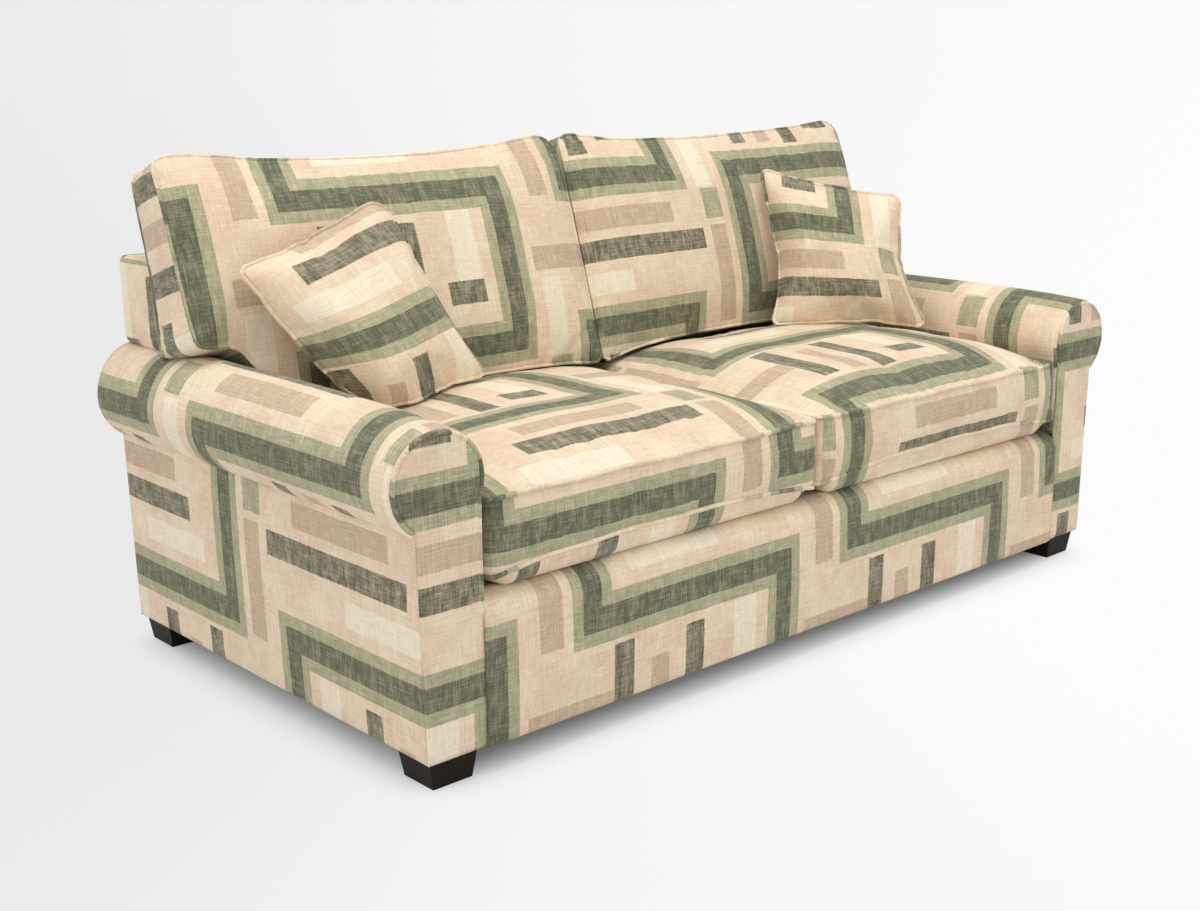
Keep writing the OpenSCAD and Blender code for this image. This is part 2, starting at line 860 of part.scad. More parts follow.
// Shares of the height, with rows close together where the wing begins
wing_share = 2 * wing_b / back_len - 1;
wing_ease = 0.07;
wing_rows = [-0.10, -0.03, 0.03, 0.10];
back_vs = concat(
    [-1, -0.96, -0.85, -0.7],
    [for (row = wing_rows) wing_share + row],
    [0, 0.3, 0.55, 0.78, 0.92, 0.98, 1]
);
back_corner_r = 20;
back_corner_power = 14;
back_draw = 10;
// Height share at which the outer edge draws in most, and how far that reaches
back_draw_v = 0.4;
back_draw_reach = 0.6;
// How flat the crown and the dip of the top edge are
back_crown_power = 4;
back_dip_powers = [2.5, 3];
back_side_rows = [[0.2, 1], [0.5, 2], [0.8, 1]];

// A back cushion's outline in its own plane: X, and the distance b up its slope
function back_plan(u, v) =
    let (
        corner = back_corner_r * pow(abs(v), back_corner_power),
        wing = ease(wing_share - wing_ease, wing_share + wing_ease, v) * wing_w,
        draw = 1 - pow(abs((v - back_draw_v) / back_draw_reach), 2),
        x0 = seat_x0 + 2 + corner,
        x1 = back_x1 - 2 + wing - corner - back_draw * wing / wing_w * draw,
        dip = back_dip * (1 - pow(abs(u), back_dip_powers[0])) * pow(max(v, 0), back_dip_powers[1]),
        low = v < 0 ? back_corner_r * pow(abs(u), back_corner_power) : 0
    )
    [x0 + (u + 1) / 2 * (x1 - x0), (v + 1) / 2 * back_len - dip + low];

// Turns the back cushions' own X, slope distance and thickness into the sofa's frame
module at_back_slope() {
    translate([0, back_front_y - (back_pipe_z - back_foot_z) * tan_lean, back_foot_z])
        rotate([90 - lean, 0, 0]) children();
}

// The right back cushion's whole form, in its own plane with the front face at 0
module back_form() {
    front = [for (v = back_vs) [for (u = back_us)
        let (
            p = back_plan(u, v),
            rise = (1 - pow(abs(u), back_crown_power)) * (1 - pow(abs(v), back_crown_power))
        )
        [p[0], p[1], back_crown * rise]]];
    rear = [for (v = back_vs) [for (u = back_us)
        let (p = back_plan(u, v))
        [p[0], p[1], -back_t]]];
    soft_block(front, rear, [seat_cx, back_len / 2], back_side_rows);
}

back_core_low = [seat_x0 + back_core_edge, back_core_edge, back_core_sink - back_t];
back_core_high =
    [back_x1 - back_core_edge, back_len - back_core_edge - back_dip, -back_core_sink];
back_zip_h = -back_t / 2;

module back_cushion_cover(side) {
    color(linen) on_side(side) at_back_slope() difference() {
        back_form();
        box(back_core_low - [gap, gap, gap], back_core_high + [gap, gap, gap]);
        box([seat_x0 + zip_end, -back_corner_r, back_zip_h - zip_gap / 2],
            [back_x1 - zip_end, zip_depth, back_zip_h + zip_gap / 2]);
    }
}

module back_cushion_core(side) {
    color(fibre) on_side(side) at_back_slope() box(back_core_low, back_core_high);
}

// Puts a zip drawn on the XY plane into a back cushion's bottom recess
module at_back_zip() {
    at_back_slope() translate([seat_x0 + zip_end + gap, zip_depth - gap, back_zip_h])
        rotate([90, 0, 0]) children();
}

back_zip_l = back_x1 - seat_x0 - 2 * zip_end - 2 * gap;

module back_zip(side) {
    color(steel) on_side(side) at_back_zip() zip_strip(back_zip_l);
}

module back_zip_slider(side) {
    color(steel) on_side(side) at_back_zip() translate([gap, 0, 0]) zip_slider();
}

// Scatter cushions

// A place given by its distance from the arm's inner face, its distance in front of the
// back cushions' face and its height over the seat's peak, on the right-hand side
function scatter_place(p) = [
    post_in - p[0],
    cushion_face(seat_peak + p[2]) - p[1],
    seat_peak + p[2]
];
// Corners of each scatter cushion: top left, top right, bottom right and bottom left, with
// the left cushion seen in a mirror
scatter_right = [[246, 52, 335.1], [81, 306, 283.1], [89, 299, 0.1], [339, 89, 0.1]];
scatter_left = [[275, 47, 337], [-65, 101, 245], [111, 135, 1.5], [430, 75, -1]];

scatter_us = crowded(12);
// How flat the swell is in its middle and how steep at its edge, and half the edge's thickness
scatter_flat_power = 2.4;
scatter_edge_power = 0.62;
scatter_edge_t = 0.6;

// A point between four corners, for u and v from -1 to 1
function between(c, u, v) =
    ((c[3] * (1 - u) + c[2] * (1 + u)) * (1 - v) + (c[0] * (1 - u) + c[1] * (1 + u)) * (1 + v)) / 4;

// A knife-edged cushion stretched over four corners, grown by the shares given
module scatter_form(places, front, rear, draw, share) {
    c = [for (p = places) scatter_place(p)];
    m = between(c, 0, 0);
    across = cross(c[1] - c[0] + c[2] - c[3], c[0] - c[3] + c[1] - c[2]);
    normal = across / norm(across);
    sheet = [for (v = scatter_us) [for (u = scatter_us)
        m + share * (between(c, u * (1 - draw * (1 - v * v)), v * (1 - draw * (1 - u * u))) - m)]];
    flat = [for (u = scatter_us) 1 - pow(abs(u), scatter_flat_power)];
    swell = [for (a = flat) [for (b = flat) pow(max(0, a * b), scatter_edge_power)]];
    n = len(scatter_us) - 1;
    count = (n + 1) * (n + 1);
    front_points = [for (j = [0 : n]) for (i = [0 : n])
        sheet[j][i] + normal * (front * swell[j][i] + scatter_edge_t)];
    rear_points = [for (j = [0 : n]) for (i = [0 : n])
        sheet[j][i] - normal * (rear * swell[j][i] + scatter_edge_t)];
    loop = [for (g = rim(n, n)) g[1] * (n + 1) + g[0]];
    polyhedron(
        points = concat(rear_points, front_points),
        faces = concat(
            grid_faces(n, n, 0, true),
            grid_faces(n, n, count, false),
            band_faces(loop, [for (k = loop) count + k])
        ),
        convexity = 4
    );
}

function scatter_corners(side) = side < 0 ? scatter_left : scatter_right;

module scatter_cover(side) {
    color(linen) on_side(side) difference() {
        scatter_form(scatter_corners(side), scatter_front, scatter_rear, scatter_draw, 1);
        scatter_form(scatter_corners(side), scatter_front - scatter_skin,
            scatter_rear - scatter_skin, scatter_draw, scatter_pad_share + 0.02);
    }
}

module scatter_pad(side) {
    color(fibre) on_side(side)
        scatter_form(scatter_corners(side), scatter_front - scatter_skin - 2 * gap,
            scatter_rear - scatter_skin - 2 * gap, scatter_draw, scatter_pad_share);
}

front_rail();
back_rail();
side_rail(-1);  // side_rail_left
side_rail(1);  // side_rail_right
facing_board(-1);  // facing_board_left
facing_board(1);  // facing_board_right
arm_rail(-1);  // arm_rail_left
arm_rail(1);  // arm_rail_right
back_stile(-1);  // back_stile_left
back_stile(1);  // back_stile_right
back_centre_stile();
back_top_rail();
rear_seat_rail();
seat_bearer();
corner_blocks();
foot_plates();
foot_bolts();
foot(-1, foot_front_y);  // foot_front_left
foot(1, foot_front_y);  // foot_front_right
foot(-1, foot_rear_y);  // foot_rear_left
foot(1, foot_rear_y);  // foot_rear_right
seat_springs();
spring_clips();
back_webbing();
deck_pad();
deck_cloth();
dust_cover();
front_cover();
arm_pad(-1);  // arm_pad_left
arm_pad(1);  // arm_pad_right
arm_cover(-1);  // arm_cover_left
arm_cover(1);  // arm_cover_right
outside_arm(-1);  // outside_arm_left
outside_arm(1);  // outside_arm_right
facing_cover(-1);  // facing_cover_left
facing_cover(1);  // facing_cover_right
facing_piping(-1);  // facing_piping_left
facing_piping(1);  // facing_piping_right
back_cover();
outside_back();
seat_cover(-1);  // seat_cover_left
seat_cover(1);  // seat_cover_right
seat_core(-1);  // seat_core_left
seat_core(1);  // seat_core_right
seat_zip(-1);  // seat_zip_left
seat_zip(1);  // seat_zip_right
seat_zip_slider(-1);  // seat_zip_slider_left
seat_zip_slider(1);  // seat_zip_slider_right
back_cushion_cover(-1);  // back_cushion_cover_left
back_cushion_cover(1);  // back_cushion_cover_right
back_cushion_core(-1);  // back_cushion_core_left
back_cushion_core(1);  // back_cushion_core_right
back_zip(-1);  // back_zip_left
back_zip(1);  // back_zip_right
back_zip_slider(-1);  // back_zip_slider_left
back_zip_slider(1);  // back_zip_slider_right
scatter_cover(-1);  // scatter_cover_left
scatter_cover(1);  // scatter_cover_right
scatter_pad(-1);  // scatter_pad_left
scatter_pad(1);  // scatter_pad_right
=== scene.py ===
"""Looks of the three-seater sofa: its upholstery, cushions, feet, stage, lights and camera."""

import math

import bmesh
import bpy
import numpy as np
from mathutils import Matrix, Vector, noise
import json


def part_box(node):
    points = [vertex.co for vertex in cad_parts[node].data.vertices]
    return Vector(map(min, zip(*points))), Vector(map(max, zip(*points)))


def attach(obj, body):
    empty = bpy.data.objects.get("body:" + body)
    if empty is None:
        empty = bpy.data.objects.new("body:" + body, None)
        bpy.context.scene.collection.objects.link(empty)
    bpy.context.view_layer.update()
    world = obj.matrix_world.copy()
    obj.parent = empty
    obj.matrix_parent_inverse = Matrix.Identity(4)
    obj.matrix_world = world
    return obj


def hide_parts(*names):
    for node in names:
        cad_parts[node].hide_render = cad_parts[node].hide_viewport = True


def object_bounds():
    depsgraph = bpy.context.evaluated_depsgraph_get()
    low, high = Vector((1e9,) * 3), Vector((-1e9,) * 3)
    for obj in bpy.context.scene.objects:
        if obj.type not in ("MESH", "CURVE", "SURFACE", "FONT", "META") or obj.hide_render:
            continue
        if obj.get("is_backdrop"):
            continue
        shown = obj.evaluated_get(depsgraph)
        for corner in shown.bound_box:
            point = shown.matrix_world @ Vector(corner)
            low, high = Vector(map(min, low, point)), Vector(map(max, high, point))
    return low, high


# Without a fixed seed the soft noise differs from run to run
NOISE_SEED = 7
noise.seed_set(NOISE_SEED)

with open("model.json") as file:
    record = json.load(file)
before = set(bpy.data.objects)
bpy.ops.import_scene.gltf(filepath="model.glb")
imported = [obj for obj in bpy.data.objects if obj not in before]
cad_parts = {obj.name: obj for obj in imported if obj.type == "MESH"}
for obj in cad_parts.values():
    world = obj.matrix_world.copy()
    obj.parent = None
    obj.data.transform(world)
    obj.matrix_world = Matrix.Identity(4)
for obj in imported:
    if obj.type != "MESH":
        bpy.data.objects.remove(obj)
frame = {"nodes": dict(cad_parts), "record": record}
cad_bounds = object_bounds()

# Sizes, in metres, taken from the frame where it holds them


def span(node):
    """Lowest and highest corner of a node as numpy arrays."""
    low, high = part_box(node)
    return np.array(low), np.array(high)


ROLL_LOW, ROLL_HIGH = span("arm_cover_right")
RAIL_LOW, RAIL_HIGH = span("front_cover")
BACK_LOW, BACK_HIGH = span("back_cover")
REAR_LOW, REAR_HIGH = span("outside_back")
SEAT_LOW, SEAT_HIGH = span("seat_cover_right")

ROLL_R = (ROLL_HIGH[0] - ROLL_LOW[0]) / 2
ROLL_X = (ROLL_HIGH[0] + ROLL_LOW[0]) / 2
ROLL_Z = ROLL_HIGH[2] - ROLL_R
FRONT_Y = span("facing_cover_right")[0][1]
REAR_Y = REAR_HIGH[1]
HEM_Z = RAIL_LOW[2]
HALF_W = 0.925
SIDE_TOP_X, _, SIDE_TOP_Z = span("outside_arm_right")[1]
CREASE = math.asin((SIDE_TOP_Z - ROLL_Z) / ROLL_R)
POST_IN = span("facing_piping_right")[0][0] + 0.006
DECK_X = span("deck_cloth")[1][0]
CORD_R = 0.0043
LEAN = math.radians(16)
TAN_LEAN = math.tan(LEAN)

NAME = {-1: "left", 1: "right"}

# Where each piece is cut from the cloth
SIDE_PRINT = {-1: (0.0, 0.0), 1: (0.25, 0.15)}
SEAT_PRINT = {-1: (0.20, 0.10), 1: (0.0, 0.30)}
BACK_PRINT = {-1: (0.12, -0.10), 1: (0.30, 0.22)}
SCATTER_PRINT = {-1: (0.35, 0.20), 1: (0.55, 0.42)}


# Meshes


def assign(target, **settings):
    """Sets attributes of a target, and returns it."""
    for key, value in settings.items():
        setattr(target, key, value)
    return target


def new_object(name, data):
    """Adds an object to the scene."""
    obj = bpy.data.objects.new(name, data)
    bpy.context.scene.collection.objects.link(obj)
    return obj


def add_modifier(obj, kind, **settings):
    """Adds a modifier with the given settings."""
    return assign(obj.modifiers.new(kind.lower(), kind), **settings)


class Skin:
    """Gathers one piece's vertices and quads, with the cloth's own coordinates in metres."""

    def __init__(self, side=1, shift=(0.0, 0.0)):
        self.side = side
        self.shift = shift
        self.places = []
        self.faces = []
        self.cloth = []
        self.count = 0

    def add(self, grid):
        """Adds a grid of points and returns the grid of their indices."""
        first = self.count
        self.places.append(grid.reshape(-1, 3))
        self.count += len(self.places[-1])
        return np.arange(first, self.count).reshape(grid.shape[:2])

    def quads(self, index, cloth, flip=False):
        """Adds the quads of an index grid, with a cloth place at each of its points."""
        corners = [np.s_[:-1, :-1], np.s_[:-1, 1:], np.s_[1:, 1:], np.s_[1:, :-1]]
        if flip:
            corners.reverse()
        self.faces.append(np.stack([index[c] for c in corners], axis=-1).reshape(-1, 4))
        self.cloth.append(np.stack([cloth[c] for c in corners], axis=-2).reshape(-1, 2))

    def build(self, name, merge=True, closed=True):
        """Makes the object, and merges points that lie on each other."""
        places = np.vstack(self.places)
        faces = np.vstack(self.faces)
        cloth = np.vstack(self.cloth)
        if self.side < 0:
            places = places * (-1, 1, 1)
            faces = faces[:, ::-1]
            cloth = cloth.reshape(-1, 4, 2)[:, ::-1].reshape(-1, 2) * (-1, 1)
        cloth = cloth + self.shift
        mesh = bpy.data.meshes.new(name)
        mesh.from_pydata(places.tolist(), [], faces.tolist())
        mesh.uv_layers.new(name="cloth").data.foreach_set("uv", cloth.ravel())
        obj = new_object(name, mesh)
        if merge:
            shape = bmesh.new()
            shape.from_mesh(mesh)
            bmesh.ops.remove_doubles(shape, verts=shape.verts, dist=1e-5)
            bmesh.ops.dissolve_degenerate(shape, edges=shape.edges, dist=1e-6)
            if closed:
                bmesh.ops.recalc_face_normals(shape, faces=shape.faces)
            shape.to_mesh(mesh)
            shape.free()
        mesh.shade_smooth()
        return obj


def sheet(name, grid, cloth, thickness, side=1, shift=(0.0, 0.0), flip=False):
    """One open layer of cloth, as thick inwards as given."""
    skin = Skin(side, shift)
    skin.quads(skin.add(grid), cloth, flip)
    obj = skin.build(name, closed=False)
    if thickness:
        add_modifier(obj, "SOLIDIFY", thickness=thickness, offset=-1)
    return obj


def box_mesh(name, low, high, taper=0.0):
    """A box between two corners, drawn in at its lower end by the taper."""
    shape = bmesh.new()
    bmesh.ops.create_cube(shape, size=2)
    for vert in shape.verts:
        inset = taper if vert.co.z < 0 else 0.0
        half = (high - low) / 2 - (inset, inset, 0)
        vert.co = Vector((low + high) / 2 + np.array(vert.co) * half)
    mesh = bpy.data.meshes.new(name)
    shape.to_mesh(mesh)
    shape.free()
    return mesh


def vertex_places(data):
    """The vertices of a mesh as an array."""
    places = np.empty(len(data.vertices) * 3)
    data.vertices.foreach_get("co", places)
    return places.reshape(-1, 3)


def stack(*axes):
    """Points from their coordinates, each an array of the directions that it changes in."""
    return np.stack(np.broadcast_arrays(*axes), axis=-1)


def first_column(rows):
    """The first value of each row, as a column."""
    return np.array([[row[0]] for row in rows])


def ring_closed(grid):
    """Repeats the first column of a grid after its last."""
    return np.hstack([grid, grid[:, :1]])


def arc_lengths(points, closed=False):
    """Distance along a line of points, from its first point, and back to it if closed."""
    if closed:
        points = np.vstack([points, points[:1]])
    steps = np.linalg.norm(np.diff(points, axis=0), axis=1)
    return np.concatenate([[0], np.cumsum(steps)])


def resample(points, count):
    """Spaces points evenly along a line."""
    points = np.asarray(points, dtype=float)
    along = arc_lengths(points)
    wanted = np.linspace(0, along[-1], count)
    return np.stack([np.interp(wanted, along, axis) for axis in points.T], axis=1)


def smooth_curve(points, count):
    """A smooth line through the points, evenly spaced."""
    points = np.asarray(points, dtype=float)
    padded = np.vstack([2 * points[0] - points[1], points, 2 * points[-1] - points[-2]])
    t = np.linspace(0, 1, 12, endpoint=False)[:, None]
    parts = []
    for a, b, c, d in zip(padded[:-3], padded[1:-2], padded[2:-1], padded[3:]):
        parts.append(0.5 * (2 * b + (c - a) * t + (2 * a - 5 * b + 4 * c - d) * t**2
                            + (3 * b - a - 3 * c + d) * t**3))
    return resample(np.vstack(parts + [points[-1:]]), count)


def crowded(count, share=0.5):
    """Places from -1 to 1 that lie closer together towards both ends."""
    t = np.linspace(-1, 1, count)
    return (1 - share) * t + share * np.sin(t * math.pi / 2)


def step(value, low, high):
    """A smooth step from 0 at low to 1 at high."""
    t = np.clip((value - low) / (high - low), 0, 1)
    return t * t * (3 - 2 * t)


def half_chord(radius, offset):
    """Half of a circle's chord at a distance from its middle."""
    return math.sqrt(max(radius**2 - offset**2, 0))


def uneven(points, size, scale, seed):
    """Moves points by soft noise of the given size, so that nothing is dead straight."""
    flat = points.reshape(-1, 3)
    shift = [noise.noise_vector(Vector(p) * scale + Vector((seed, 0, 0))) for p in flat]
    return points + size * np.array(shift).reshape(points.shape)


def from_rim(flat):
    """Distance from each point of a 2-D grid to the grid's outline."""
    a = np.vstack([flat[0], flat[1:, -1], flat[-1, -2::-1], flat[-2:0:-1, 0]])
    edge = np.roll(a, -1, axis=0) - a
    point = flat.reshape(-1, 1, 2)
    share = ((point - a) * edge).sum(-1) / np.maximum((edge**2).sum(-1), 1e-12)
    near = a + np.clip(share, 0, 1)[..., None] * edge
    return np.linalg.norm(point - near, axis=-1).min(axis=1).reshape(flat.shape[:-1])


def padded_edge(distance, radius, crown, reach):
    """How far a padded panel lies behind its front, by the distance to its edge."""
    turn = np.clip(1 - distance / radius, 0, 1)
    fall = radius * (1 - np.sqrt(np.clip(1 - turn**2, 0, 1)))
    return fall + crown * (1 - np.clip(distance / reach, 0, 1)) ** 2


AROUND_CORD = 10


def tube(name, path, radius, closed=False, side=1, print_line=None, shift=(0.0, 0.0)):
    """A cord along a path, covered in the cloth that lies beside it."""
    if closed:
        ahead = np.roll(path, -1, axis=0) - np.roll(path, 1, axis=0)
    else:
        ahead = np.gradient(path, axis=0)
    ahead /= np.linalg.norm(ahead, axis=1)[:, None]
    across = np.zeros_like(path)
    last = np.array([0.31, 0.17, 0.93])
    for i, direction in enumerate(ahead):
        last = last - direction * (last @ direction)
        last /= np.linalg.norm(last)
        across[i] = last
    other = np.cross(ahead, across)
    slip = math.atan2(across[0] @ other[-1], across[0] @ across[-1]) if closed else 0.0
    turn = np.linspace(0, 2 * math.pi, AROUND_CORD, endpoint=False)
    angles = turn + np.linspace(0, 1, len(path))[:, None] * slip
    rings = (path[:, None] + radius * np.cos(angles)[..., None] * across[:, None]
             + radius * np.sin(angles)[..., None] * other[:, None])
    if print_line is None:
        print_line = path[:, ::2]
    girth = radius * np.sin(np.linspace(0, 2 * math.pi, AROUND_CORD + 1))
    cloth = print_line[:, None] + girth[None, :, None] * (0.7, 0.7)
    skin = Skin(side, shift)
    index = skin.add(rings)
    if closed:
        index = np.vstack([index, index[:1]])
        cloth = np.vstack([cloth, cloth[:1]])
    skin.quads(ring_closed(index), cloth)
    for end in () if closed else (0, -1):
        tip = skin.add(np.repeat(path[end][None, None], AROUND_CORD, axis=1))
        skin.quads(ring_closed(np.vstack([index[end], tip])), np.stack([cloth[end]] * 2))
    return skin.build(name)


# Materials


class Graph:
    """Short names for the shader nodes of a material or a world."""

    def __init__(self, owner):
        owner.use_nodes = True
        self.owner = owner
        self.tree = owner.node_tree

    def plug(self, socket, value):
        """Links a socket to an output, or sets its value."""
        if isinstance(value, bpy.types.NodeSocket):
            self.tree.links.new(value, socket)
        elif value is not None:
            socket.default_value = value

    def node(self, kind, inputs=(), **settings):
        """Adds a node, with its inputs by order or by name, and returns its outputs."""
        node = assign(self.tree.nodes.new("ShaderNode" + kind), **settings)
        pairs = inputs.items() if isinstance(inputs, dict) else enumerate(inputs)
        for key, value in pairs:
            self.plug(node.inputs[key], value)
        return node.outputs

    def math(self, operation, *values, clamp=False):
        return self.node("Math", values, operation=operation, use_clamp=clamp)[0]

    def add(self, a, b, clamp=False):
        return self.math("ADD", a, b, clamp=clamp)

    def times(self, a, b):
        return self.math("MULTIPLY", a, b)

    def vector(self, operation, *values):
        outputs = self.node("VectorMath", values, operation=operation)
        return outputs["Value" if operation in ("LENGTH", "DOT_PRODUCT") else "Vector"]

    def scaled(self, vector, scale):
        return self.node("VectorMath", {0: vector, 3: scale}, operation="SCALE")[0]

    def noise(self, place, scale, detail=2.0, roughness=0.5, distortion=0.0, output="Fac"):
        inputs = {"Vector": place, "Scale": scale, "Detail": detail, "Roughness": roughness,
                  "Distortion": distortion}
        return self.node("TexNoise", inputs)[output]

    def streaks(self, place, stretch, detail=3.0, roughness=0.5):
        """Noise with its own number of spots to the metre along each axis."""
        return self.noise(self.vector("MULTIPLY", place, stretch), 1.0, detail, roughness)

    def between(self, value, low, high, to_low=0.0, to_high=1.0, smooth=False):
        return self.node("MapRange", (value, low, high, to_low, to_high),
                         interpolation_type="SMOOTHSTEP" if smooth else "LINEAR")[0]

    def mix(self, share, a, b):
        return self.node("Mix", {0: share, 6: a, 7: b}, data_type="RGBA")[2]

    def bump(self, height, strength, distance):
        inputs = {"Height": height, "Strength": strength, "Distance": distance}
        return self.node("Bump", inputs)[0]

    def object_place(self):
        return self.node("TexCoord")["Object"]

    def finish(self, color, roughness, normal=None, **fixed):
        """Sets the surface's shader, and returns the material."""
        named = {"Base Color": color, "Roughness": roughness, "Normal": normal}
        named.update((key.replace("_", " "), value) for key, value in fixed.items())
        for key, value in named.items():
            self.plug(self.tree.nodes["Principled BSDF"].inputs[key], value)
        return self.owner


def new_graph(name):
    """The shader nodes of a new material."""
    return Graph(bpy.data.materials.new(name))


def srgb(red, green, blue):
    """A colour given in 0 to 255 as the shader's linear values."""
    def linear(value):
        value /= 255
        return value / 12.92 if value <= 0.04045 else ((value + 0.055) / 1.055) ** 2.4
    return (linear(red), linear(green), linear(blue), 1.0)


GROUND = srgb(228, 209, 183)
GROUND_PINK = srgb(222, 197, 172)
CREAM = srgb(234, 225, 203)
TAN = srgb(190, 166, 142)
SAGE = srgb(156, 158, 126)
DARK = srgb(92, 95, 75)

# The printed repeat and its bars, each with its middle and its size, in metres
REPEAT = (0.685, 0.640)
CREAM_BARS = [(0.300, 0.251, 0.22, 0.046), (0.475, 0.030, 0.060, 0.17), (0.680, 0.520, 0.050, 0.16)]
TAN_BARS = [(0.420, 0.389, 0.28, 0.046), (0.052, 0.000, 0.19, 0.050), (0.695, 0.240, 0.050, 0.22),
            (0.258, -0.020, 0.044, 0.16)]
LONE_BARS = [(0.440, 0.322, 0.41, 0.046), (0.345, -0.004, 0.046, 0.205), (0.172, 0.004, 0.046, 0.205),
             (0.462, -0.050, 0.090, 0.046)]
SAGE_BARS = [(0.690, 0.400, 0.056, 0.070)]
MEANDER_BARS = [(0.100, 0.320, 0.042, 0.362), (0.580, 0.000, 0.042, 0.362),
                (0.340, 0.160, 0.522, 0.042), (0.340, 0.480, 0.522, 0.042)]
MEANDER_EDGE = 0.023
INK_BLUR = 0.0006
WAVER = 0.0022


def printed_linen(name):
    """Slub linen with a hand-printed meander of bars, in cloth coordinates."""
    g = new_graph(name)
    place = g.node("UVMap", uv_map="cloth")[0]

    def weave(fine, coarse, detail):
        """Streaks along both ways of the cloth."""
        return g.add(g.streaks(place, (fine, coarse, 1), detail, 0.6),
                     g.streaks(place, (coarse, fine, 1), detail, 0.6))

    threads = weave(900, 45, 3.0)
    slubs = weave(400, 15, 2.0)
    blotch = g.noise(place, 9.0, 3.0, 0.6)
    patch = g.noise(place, 26.0, 4.0, 0.65)

    # The print's edges waver with the threads
    edge_place = place
    for scale, detail in ((45.0, 2.0), (420.0, 1.0)):
        waver = g.vector("SUBTRACT", g.noise(place, scale, detail, output="Color"), (0.5, 0.5, 0.5))
        edge_place = g.vector("MULTIPLY_ADD", waver, (WAVER, WAVER, 0), edge_place)

    half = (REPEAT[0] / 2, REPEAT[1] / 2, 1)

    def reach(bars):
        """Least distance outside any of the bars."""
        least = None
        for x, y, width, height in bars:
            away = g.vector("SUBTRACT", edge_place, (x, y, 0))
            away = g.vector("ABSOLUTE", g.vector("WRAP", away, half, [-size for size in half]))
            away = g.vector("SUBTRACT", away, (width / 2, height / 2, 0))
            farther = g.math("MAXIMUM", *g.node("SeparateXYZ", (away,))[:2])
            least = farther if least is None else g.math("MINIMUM", least, farther)
        return least

    # Dry ink: worn where the slubs are thin, and in dabs
    dry = g.add(g.times(threads, 0.55), g.times(slubs, 0.45))
    dabs = g.math("SUBTRACT", g.streaks(place, (60, 22, 1), 4.0, 0.7), 0.5)
    wear = g.add(dry, g.times(dabs, 0.9))

    color = g.mix(g.between(blotch, 0.40, 0.62, smooth=True), GROUND, GROUND_PINK)
    color = g.mix(g.between(patch, 0.55, 0.75, 0.0, 0.55, smooth=True), color, CREAM)
    meander = reach(MEANDER_BARS)
    for distance, edge, ink, full, thin in (
            (reach(CREAM_BARS), 0, CREAM, 0.95, 0.50), (reach(TAN_BARS), 0, TAN, 0.95, 0.55),
            (reach(SAGE_BARS), 0, SAGE, 0.95, 0.55), (meander, MEANDER_EDGE, SAGE, 1.0, 0.55),
            (meander, 0, DARK, 1.0, 0.50), (reach(LONE_BARS), 0, DARK, 1.0, 0.50)):
        body = g.between(wear, 1.26, 0.86, thin, full)
        inside = g.between(distance, edge + INK_BLUR, edge - INK_BLUR)
        color = g.mix(g.times(inside, body), color, ink)

    lift = g.add(g.between(threads, 0.75, 1.25, -0.5, 0.5), g.between(slubs, 0.7, 1.3, -0.5, 0.5))
    color = g.scaled(color, g.math("MULTIPLY_ADD", lift, 0.25, 1.0))
    bump = g.bump(g.add(g.times(threads, 0.5), g.times(slubs, 0.9)), 0.35, 0.0009)
    return g.finish(color, 0.88, bump, Sheen_Weight=0.12, Sheen_Roughness=0.5, Specular_IOR_Level=0.18)


def plain_cloth(name, color, contrast, rough=0.85):
    """Plain woven cloth in object coordinates."""
    g = new_graph(name)
    place = g.object_place()
    weave = g.add(g.streaks(place, (900, 60, 60)), g.streaks(place, (60, 900, 900)))
    blotch = g.noise(place, 12.0, 3.0)
    shade = g.add(g.between(weave, 0.6, 1.4, 1 - contrast, 1 + contrast),
                  g.between(blotch, 0.3, 0.7, -contrast / 2, contrast / 2))
    return g.finish(g.scaled(color[:3], shade), rough, g.bump(weave, 0.4, 0.0006),
                    Specular_IOR_Level=0.2)


def timber(name, light, dark, rough, axis=0, gloss=0.4):
    """Wood with grain along one axis, in object coordinates."""
    g = new_graph(name)
    stretch = [1.0, 1.0, 1.0]
    stretch[axis] = 0.06
    place = g.vector("MULTIPLY", g.object_place(), stretch)
    flow = g.noise(place, 6.0, 3.0, 0.5, 0.4)
    rings = g.math("FRACT", g.times(flow, 26.0))
    grain = g.times(g.math("PINGPONG", rings, 0.5), 1.1)
    pores = g.noise(place, 520.0, 2.0, 0.7)
    share = g.add(grain, g.between(pores, 0.45, 0.75, 0.0, 0.5), clamp=True)
    rough_out = g.between(pores, 0.3, 0.8, rough - 0.06, rough + 0.1)
    return g.finish(g.mix(share, light, dark), rough_out, g.bump(pores, 0.25, 0.0004),
                    Specular_IOR_Level=gloss)


def metal(name, color, rough):
    """Plated wire or stamped metal."""
    g = new_graph(name)
    place = g.object_place()
    scratch = g.streaks(place, (400, 30, 400), 2.0)
    tone = g.between(g.noise(place, 60.0, 4.0, 0.6), 0.3, 0.7, 0.86, 1.08)
    rough_out = g.between(scratch, 0.3, 0.7, rough - 0.08, rough + 0.12)
    return g.finish(g.scaled(color[:3], tone), rough_out, g.bump(scratch, 0.15, 0.0003), Metallic=1.0)


def filling(name, color, cell):
    """Open foam or loose fibre, with cells of the given size."""
    g = new_graph(name)
    place = g.object_place()
    cells = g.noise(place, 1 / cell, 3.0, 0.7)
    age = g.noise(place, 7.0, 2.0)
    tone = g.add(g.between(cells, 0.3, 0.7, 0.88, 1.05), g.between(age, 0.3, 0.7, -0.06, 0.04))
    return g.finish(g.scaled(color[:3], tone), 0.95, g.bump(cells, 0.6, cell), Specular_IOR_Level=0.1)


